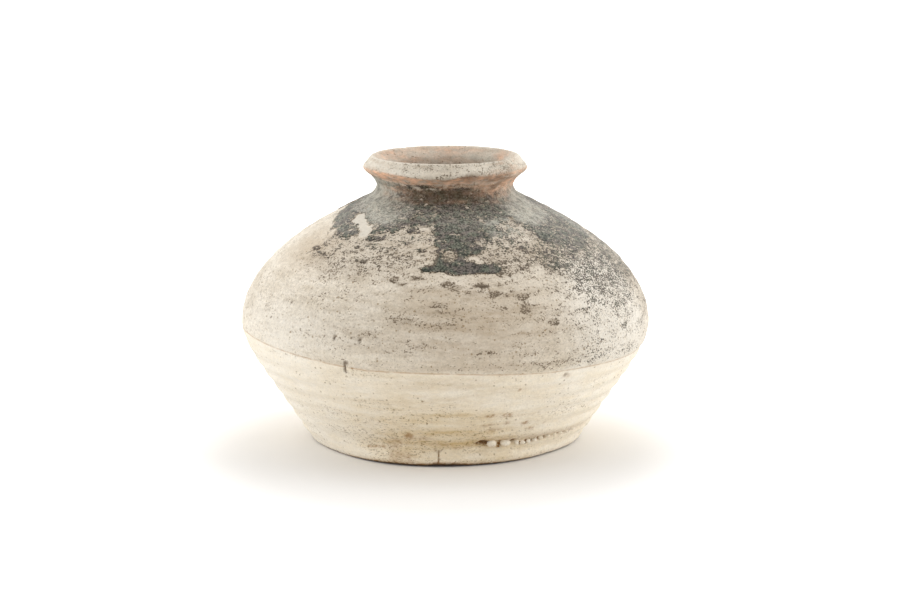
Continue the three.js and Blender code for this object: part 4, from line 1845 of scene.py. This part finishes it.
def weather_wall(piece: Piece) -> None:
    """Moves the outside of a turned piece by its relief and marks its traces.

    Args:
        piece: Turned piece whose outside lies on the wall's outline.
    """
    places = Places.on(piece)
    wall = JAR.wall()
    outer = np.interp(places.height, wall[:, 1], wall[:, 0])
    on_skin = smooth(places.radius - outer, -1.2, -0.4) * smooth(places.height, 0.0, 0.6)
    out, up = WEATHER.skin_shift(places)
    shift_points(piece, places, out * on_skin, up * on_skin)
    leave_traces(piece, WEATHER.traces(places))


@dataclass
class BaseDisc(JarPiece):
    """The flat base that the lower wall is luted to."""

    node: str = "base_disc"
    slot: str = "clay"
    floor_radii: tuple[float, ...] = (0.0, 20.0, 36.0, 38.0, 39.0, 39.8)
    side_row: float = 0.5
    edge_steps: int = 5
    bulges: tuple[tuple[float, float, float], ...] = (
        (4.3, -4.0, 64.0), (0.8, -20.0, 34.0), (0.5, 20.0, 30.0),
    )
    lid_inset: float = 3.0
    lid_radius: float = 20.0

    def build(self) -> Piece:
        """Turns the disc with its softened, ragged lower edge.

        Returns:
            The finished mesh, not yet dressed.
        """
        top = JAR.base_thickness - JAR.slip_thickness / 2
        soft = JAR.base_edge_round
        floor = [(radius, 0.0) for radius in self.floor_radii]
        bend = [(JAR.base_radius - soft, 0.0), (JAR.base_radius, 0.0), (JAR.outer(soft), soft)]
        edge = bezier(bend, self.edge_steps)
        side = evenly(JAR.between(JAR.wall(), soft, top), self.side_row)
        lid = [(radius, top) for radius in (JAR.outer(top) - self.lid_inset, self.lid_radius, 0.0)]
        piece = turn_outline(self.name, np.vstack([floor, edge, side[1:], lid]), self.steps, False)
        weather_wall(piece)
        places = Places.on(piece)
        shift_points(piece, places, *self.heel(places))
        return piece

    def heel(self, places: Places) -> tuple[np.ndarray, np.ndarray]:
        """How the lower edge bulges out and is chipped off the floor.

        Args:
            places: Points on the disc.

        Returns:
            Millimetres outwards and millimetres up.
        """
        turn, height, _, radius = places
        chips = smooth(WEATHER.fray.rough(turn, np.zeros_like(turn), 70, 2.0, 3), 0.0, 0.7)
        front = bump_at(turn, -4.0, 64.0)
        bulge = bumps(turn, self.bulges)
        swell = smooth(radius, 38.6, 41.0) * fade(height, 1.2, 6.2)
        gap = 0.06 + 0.10 * chips + 0.10 * front + 0.12 * WEATHER.heel_step(turn)
        return bulge * swell, gap * fade(height, 0.0, 1.4) * smooth(radius, 38.4, 41.0)


@dataclass
class NeckCollar(JarPiece):
    """The short neck with its everted, bevelled lip and the funnel inside."""

    node: str = "neck_collar"
    slot: str = "clay"
    steps: int = 560
    sharp_angle: float = 60.0
    row: float = 0.35
    inner_stretch: float = 1.4
    lip_steps: int = 6
    crest_steps: int = 8

    def outline(self) -> np.ndarray:
        """Draws the collar from its outer foot over the lip to its inner foot.

        Returns:
            Radius and height of each point in millimetres.
        """
        edge = np.array([JAR.lip_radius, JAR.lip_edge_height])
        crest = np.array([JAR.crest_radius, JAR.height])
        outside, inside = JAR.collar_outside(), JAR.collar_inside()
        outside = outside[np.hypot(*(outside - edge).T) > JAR.lip_edge_round]
        inside = inside[np.hypot(*(inside - crest).T) > JAR.crest_round]
        bevel = (crest - edge) / np.hypot(*(crest - edge))
        lip = bezier([outside[-1], edge, edge + JAR.lip_edge_round * bevel], self.lip_steps)
        top = bezier([crest - JAR.crest_round * bevel, crest, inside[0]], self.crest_steps)
        before = evenly(np.vstack([outside, lip[1:], top]), self.row)
        after = evenly(np.vstack([top[-1:], inside]), self.row * self.inner_stretch)
        return np.vstack([before, after[1:]])

    def build(self) -> Piece:
        """Turns the collar, wears its lip and marks its traces.

        Returns:
            The finished mesh, not yet dressed.
        """
        piece = turn_outline(self.name, self.outline(), self.steps, True)
        places = Places.on(piece)
        inner = places.radius < JAR.collar_middle(places.height)
        out, up = WEATHER.skin_shift(places)
        out *= np.where(inner, WEATHER.inside_share(places.height), 1.0)
        shift_points(piece, places, out, np.where(inner, 0.0, up) - self.rim_wear(places))
        outside, inside = WEATHER.traces(places), WEATHER.mouth_traces(places)
        leave_traces(piece, {trace: np.where(inner, inside[trace], outside[trace]) for trace in Trace})
        return piece

    @staticmethod
    def rim_wear(places: Places) -> np.ndarray:
        """How far the rim is worn down.

        Args:
            places: Points on the collar or in the mouth.

        Returns:
            Millimetres.
        """
        turn = places.turn
        nicks = smooth(WEATHER.fray.rough(turn, np.full_like(turn, 9.0), 40, 2.0, 3), 0.25, 0.8)
        dips = WEATHER.wide.at(turn, np.zeros_like(turn), 5, 9.0)
        return (0.12 * nicks + 0.12 * (1.0 + dips)) * smooth(places.height, 84.0, 87.0)


@dataclass
class BaseSlip(WallSection):
    """The luting slip of the base joint, squeezed out in crumbs along one side."""

    seat_depth: float = 0.35
    uneven: float = 0.28
    first_seed: int = 200
    crumbs: tuple[tuple[float, float, float, float, float], ...] = (
        (17.8, 6.6, 1.35, 1.15, 0.80), (23.5, 6.4, 1.55, 1.10, 0.75), (28.2, 6.1, 0.80, 0.80, 0.60),
        (30.9, 5.9, 0.90, 0.75, 0.60), (33.6, 6.1, 0.75, 0.65, 0.55), (36.4, 6.3, 0.70, 0.60, 0.50),
        (39.3, 6.6, 0.75, 0.55, 0.45), (42.6, 6.8, 0.70, 0.50, 0.42), (46.2, 6.9, 0.70, 0.50, 0.42),
        (50.0, 6.8, 0.60, 0.45, 0.40), (53.6, 6.8, 0.65, 0.45, 0.40), (58.4, 6.9, 0.75, 0.40, 0.34),
        (156.0, 6.9, 1.0, 0.7, 0.5), (163.0, 6.8, 0.8, 0.6, 0.5), (171.0, 6.9, 1.1, 0.6, 0.45),
        (184.0, 6.8, 0.7, 0.5, 0.4), (196.0, 6.9, 0.9, 0.6, 0.45),
    )

    def build(self) -> Piece:
        """Turns the slip layer and sets its crumbs on it.

        Returns:
            The finished mesh, not yet dressed.
        """
        ring = super().build()
        lumps = [self.crumb(index, *crumb) for index, crumb in enumerate(self.crumbs)]
        pick(*lumps, ring)
        bpy.ops.object.join()
        return ring

    def crumb(self, index: int, turn: float, height: float, wide: float, high: float, proud: float) -> Piece:
        """Models one irregular crumb of slip.

        Args:
            index: Number of the crumb, which picks its unevenness.
            turn: Its angle round the jar in degrees.
            height: Height of its middle in millimetres.
            wide: Its half width in millimetres.
            high: Its half height in millimetres.
            proud: How far it stands out in millimetres.

        Returns:
            The crumb, with its place in its mesh.
        """
        bpy.ops.object.select_all(action="DESELECT")
        bpy.ops.mesh.primitive_ico_sphere_add(subdivisions=3, radius=1.0, location=(0.0, 0.0, 0.0))
        lump = bpy.context.object
        points = points_of(lump) * MM
        side = np.degrees(np.arctan2(points[:, 0], points[:, 1]))
        lumpy = Unevenness(self.first_seed + index).rough(side, points[:, 2] * 3.0, 5, 2.2, 3)
        points *= (1.0 + self.uneven * lumpy)[:, None]
        x, y, z = points[:, 0] * wide, points[:, 1] * (proud + self.seat_depth), points[:, 2] * high
        away = JAR.outer(height) - self.seat_depth - y
        sine, cosine = math.sin(math.radians(turn)), math.cos(math.radians(turn))
        move_points(lump, np.c_[sine * away + cosine * x, -cosine * away + sine * x, height + z])
        found = {trace: np.zeros(len(points)) for trace in Trace}
        found[Trace.ABOVE_DIP] = np.full(len(points), -20.0)
        found[Trace.SPECKS] = np.full(len(points), 0.15)
        found[Trace.STAIN] = 0.3 * smooth(-z / high, 0.0, 0.9)
        leave_traces(lump, found)
        return lump


def linked_points(drawn: bmesh.types.BMesh, start: int, seen: np.ndarray) -> list[int]:
    """Follows the edges of a mesh from one vertex.

    Args:
        drawn: Mesh with its lookup table.
        start: Index of the first vertex.
        seen: Which vertices are out of bounds or were met before. Those that are met are added.

    Returns:
        Indices of the vertices that hang together with the first.
    """
    seen[start] = True
    linked, queue = [start], [start]
    while queue:
        for edge in drawn.verts[queue.pop()].link_edges:
            for vertex in edge.verts:
                if not seen[vertex.index]:
                    seen[vertex.index] = True
                    linked.append(vertex.index)
                    queue.append(vertex.index)
    return linked


def trim_sheet(sheet: Piece, stand: np.ndarray, limit: float, smallest: int) -> None:
    """Deletes the worn-off parts of a turned sheet, and loose scraps.

    Args:
        sheet: Open turned sheet.
        stand: How far each vertex stands above the clay in millimetres.
        limit: Vertices lower than this go.
        smallest: Scraps with fewer vertices than this go too.
    """
    pick(sheet)
    bpy.ops.object.mode_set(mode="EDIT")
    bpy.ops.mesh.select_all(action="DESELECT")
    drawn = bmesh.from_edit_mesh(sheet.data)
    drawn.verts.ensure_lookup_table()
    gone = stand < limit
    seen = gone.copy()
    for start in range(len(gone)):
        if not seen[start]:
            scrap = linked_points(drawn, start, seen)
            if len(scrap) < smallest:
                gone[scrap] = True
    for vertex in drawn.verts:
        vertex.select = bool(gone[vertex.index])
    drawn.select_flush_mode()
    bmesh.update_edit_mesh(sheet.data)
    bpy.ops.mesh.delete(type="VERT")
    bpy.ops.mesh.select_all(action="SELECT")
    bpy.ops.mesh.delete_loose(use_verts=True, use_edges=True, use_faces=False)
    bpy.ops.object.mode_set(mode="OBJECT")


def thicken_sheet(sheet: Piece, thickness: float) -> None:
    """Gives an open sheet a thickness towards the clay.

    Args:
        sheet: Open sheet, the active object.
        thickness: Its thickness in millimetres.
    """
    bpy.ops.object.modifier_add(type="SOLIDIFY")
    solid = sheet.modifiers[-1]
    solid.thickness = thickness * MM
    solid.offset = -1.0
    bpy.ops.object.modifier_apply(modifier=solid.name)


@dataclass
class GlazeCoat(JarPiece):
    """What is left of the dark glaze on the neck and shoulder: a thin coat with ragged tongues."""

    node: str = "glaze_coat"
    slot: str = "dark_glaze"
    steps: int = 600
    row: float = 0.6
    top: float = JAR.neck_height + 1.6
    reach: float = 36.0
    proud: float = 0.035
    sunk: float = 0.05
    least: float = 0.01
    body: float = 0.15
    smallest_scrap: int = 14

    def build(self) -> Piece:
        """Turns a sheet over the clay, sinks it where the glaze is gone and trims it there.

        Returns:
            The finished mesh, not yet dressed.
        """
        climb = JAR.climb()
        low = float(np.interp(-self.reach, -JAR.drop(climb[:, 1]), climb[:, 1]))
        outline = evenly(JAR.between(climb, low, self.top), self.row)
        sheet = turn_outline(self.name, outline, self.steps, False)
        places = Places.on(sheet)
        left = smooth(WEATHER.coat_share(places), 0.36, 0.70)
        left = np.minimum(left, smooth(self.top - places.height, 0.0, 1.2))
        stand = (self.sunk + self.proud) * left - self.sunk
        out, up = WEATHER.skin_shift(places)
        out_part, up_part = JAR.facing(places.height)
        shift_points(sheet, places, out + stand * out_part, up + stand * up_part)
        leave_traces(sheet, WEATHER.traces(places))
        trim_sheet(sheet, stand, self.least - self.sunk, self.smallest_scrap)
        thicken_sheet(sheet, self.body)
        return sheet


@dataclass
class MouthGlaze(JarPiece):
    """The thin rust brown film inside the mouth."""

    node: str = "mouth_glaze"
    slot: str = "rust_glaze"
    steps: int = 480
    row: float = 0.5
    start: float = 1.6
    reach: float = 1.5
    proud: float = 0.06
    body: float = 0.2
    smallest_scrap: int = 14

    def build(self) -> Piece:
        """Turns a film inside the funnel and throat, with ragged edges.

        Returns:
            The finished mesh, not yet dressed.
        """
        low, high = JAR.neck_height - self.reach, JAR.height - self.start
        outline = evenly(JAR.between(JAR.collar_inside()[::-1], low, high), self.row)
        sheet = turn_outline(self.name, outline, self.steps, False)
        bpy.ops.object.mode_set(mode="EDIT")
        bpy.ops.mesh.select_all(action="SELECT")
        bpy.ops.mesh.flip_normals()
        bpy.ops.object.mode_set(mode="OBJECT")
        places = Places.on(sheet)
        height = places.height
        ends = np.minimum(smooth(high - height, 0.0, 1.0), smooth(height - low, 0.0, 1.0))
        ends += 0.4 * WEATHER.lip_fray(places.turn, height)
        stand = self.proud * (2.4 * smooth(ends, 0.1, 0.6) - 1.4)
        out, _ = WEATHER.skin_shift(places)
        out = out * WEATHER.inside_share(height) - stand
        shift_points(sheet, places, out, -NeckCollar.rim_wear(places))
        leave_traces(sheet, WEATHER.mouth_traces(places))
        trim_sheet(sheet, stand, -1.3 * self.proud, self.smallest_scrap)
        thicken_sheet(sheet, self.body)
        return sheet


@dataclass(frozen=True)
class Studio:
    """A white sweep with soft light from above and both sides, and the camera of the photograph."""

    camera_distance: float = 1.0
    camera_height: float = 0.2196
    pitch_down: float = 9.965
    yaw_right: float = 0.2625
    lens: float = 128.1
    sensor_width: float = 36.0
    nearest: float = 0.05
    sky: float = 0.70
    floor_size: float = 12.0
    # floor_glow and the shadow fields shape a painted glow: outside an oval round the jar the floor glows
    # white to the camera and in reflections.
    floor_glow: float = 0.5
    floor_colour: Colour = (0.80, 0.785, 0.765, 1.0)
    shadow_middle: tuple[float, float, float] = (-0.002, -0.022, 0.0)
    shadow_size: tuple[float, float, float] = (0.075, 0.100, 1.0)
    shadow_edge: tuple[float, float] = (0.74, 1.40)
    aim_height: float = 0.045
    lamps: tuple[tuple[str, tuple[float, float, float], float, float], ...] = (
        ("top_lamp", (0.0, 0.84, 1.08), 1.7, 11.6),
        ("left_lamp", (-1.18, 0.05, 0.64), 1.4, 9.4),
        ("right_lamp", (1.2, 0.12, 0.64), 1.4, 11.0),
    )

    def camera(self) -> None:
        """Places the camera."""
        data = bpy.data.cameras.new("view")
        data.lens = self.lens
        data.sensor_width = self.sensor_width
        data.sensor_fit = "HORIZONTAL"
        data.clip_start = self.nearest
        view = bpy.data.objects.new("view", data)
        view.location = (0.0, -self.camera_distance, self.camera_height)
        view.rotation_euler = (math.radians(90.0 - self.pitch_down), 0.0, math.radians(-self.yaw_right))
        bpy.context.scene.collection.objects.link(view)
        bpy.context.scene.camera = view

    def lamp(self, name: str, place: tuple[float, float, float], size: float, power: float) -> None:
        """Hangs one soft lamp that faces the jar.

        Args:
            name: Name of the lamp.
            place: Where it hangs, in metres.
            size: Side of its square face in metres.
            power: Its power in watts.
        """
        data = bpy.data.lights.new(name, "AREA")
        data.shape = "SQUARE"
        data.size = size
        data.energy = power
        lamp = bpy.data.objects.new(name, data)
        lamp.location = place
        away = np.array(place) - np.array([0.0, 0.0, self.aim_height])
        flat = math.hypot(away[0], away[1])
        lamp.rotation_euler = (math.atan2(flat, away[2]), 0.0, math.atan2(away[0], -away[1]))
        bpy.context.scene.collection.objects.link(lamp)

    @staticmethod
    def seen_directly(s: NodeSketch) -> Socket:
        """Tells where the white surroundings are seen, by the camera, in a reflection or through glass.

        Args:
            s: Sketch of the nodes of the world or the floor.

        Returns:
            A value of 1 there and 0 elsewhere.
        """
        path = s.add("ShaderNodeLightPath")
        glossy = s.math("MAXIMUM", path.outputs["Is Glossy Ray"], path.outputs["Is Transmission Ray"])
        return s.math("MAXIMUM", path.outputs["Is Camera Ray"], glossy)

    def surroundings(self) -> None:
        """Makes the world white to the eye and a soft light for the jar."""
        world = bpy.data.worlds.new("white_sweep")
        bpy.context.scene.world = world
        world.use_nodes = True
        s = NodeSketch(world.node_tree)
        background = world.node_tree.nodes["Background"]
        strength = s.ease(self.seen_directly(s), 0.0, 1.0, self.sky, 1.0)
        s.fill(background, {"Color": WHITE, "Strength": strength})

    def floor(self) -> None:
        """Lays the pale floor, which keeps the jar's shadow inside an oval round it and beyond that glows
        white, a painted light that fades out the rest of the shadow.
        """
        bpy.ops.object.select_all(action="DESELECT")
        bpy.ops.mesh.primitive_plane_add(size=self.floor_size, location=(0.0, 0.0, 0.0))
        floor = bpy.context.object
        floor.name = "floor"
        material = bpy.data.materials.new("pale_floor")
        material.use_nodes = True
        s = NodeSketch(material.node_tree)
        shader = material.node_tree.nodes["Principled BSDF"]
        shift = s.vector("SUBTRACT", s.place(), self.shadow_middle)
        oval = s.vector("DIVIDE", shift.outputs[0], self.shadow_size)
        away = s.vector("LENGTH", oval.outputs[0]).outputs["Value"]
        # Painted light: the floor's glow grows from none inside the oval to full well beyond it, outside the
        # kept shadow.
        painted_glow = s.ease(away, *self.shadow_edge, 0.0, self.floor_glow)
        finish = {
            "Base Color": self.floor_colour,
            "Roughness": 1.0,
            "Specular IOR Level": 0.0,
            "Emission Color": WHITE,
            "Emission Strength": s.times(self.seen_directly(s), painted_glow),
        }
        s.fill(shader, finish)
        floor.data.materials.append(material)

    def build(self) -> None:
        """Sets up the camera, light and floor."""
        bpy.context.scene.view_settings.view_transform = "Standard"
        self.camera()
        self.surroundings()
        self.floor()
        for lamp in self.lamps:
            self.lamp(*lamp)


def main() -> None:
    """Builds the studio and every piece of the jar, and reports each piece."""
    logging.basicConfig(level=logging.INFO, format="%(name)s %(relativeCreated)d ms %(message)s")
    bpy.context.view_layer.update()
    Studio().build()
    effects = SharedEffects()
    clay = WeatheredClay("weathered_clay", effects).build()
    glaze = WeatheredClay("dark_iron_glaze", effects, clay_roughness=0.88).build()
    film = WeatheredClay("rust_brown_film", effects, glaze_roughness=0.72).build()
    half = JAR.slip_thickness / 2
    base, belly, collar = JAR.base_thickness, JAR.belly_height, JAR.collar_seat
    sections = (
        (BaseDisc(), clay),
        (BaseSlip("base_slip", "slip", low=base - half, high=base + half), clay),
        (WallSection("lower_wall", "clay", low=base + half, high=belly - half), clay),
        (WallSection("belly_slip", "slip", low=belly - half, high=belly + half), clay),
        (WallSection("shoulder_wall", "clay", low=belly + half, high=collar - half), clay),
        (WallSection("collar_slip", "slip", low=collar - half, high=collar + half), clay),
        (NeckCollar(), clay),
        (GlazeCoat(), glaze),
        (MouthGlaze(), film),
    )
    for section, finish in sections:
        piece = section.build()
        section.dress(piece, finish)
        LOG.info("%s: %d faces", piece.name, len(piece.data.polygons))


if __name__ == "__main__":
    main()
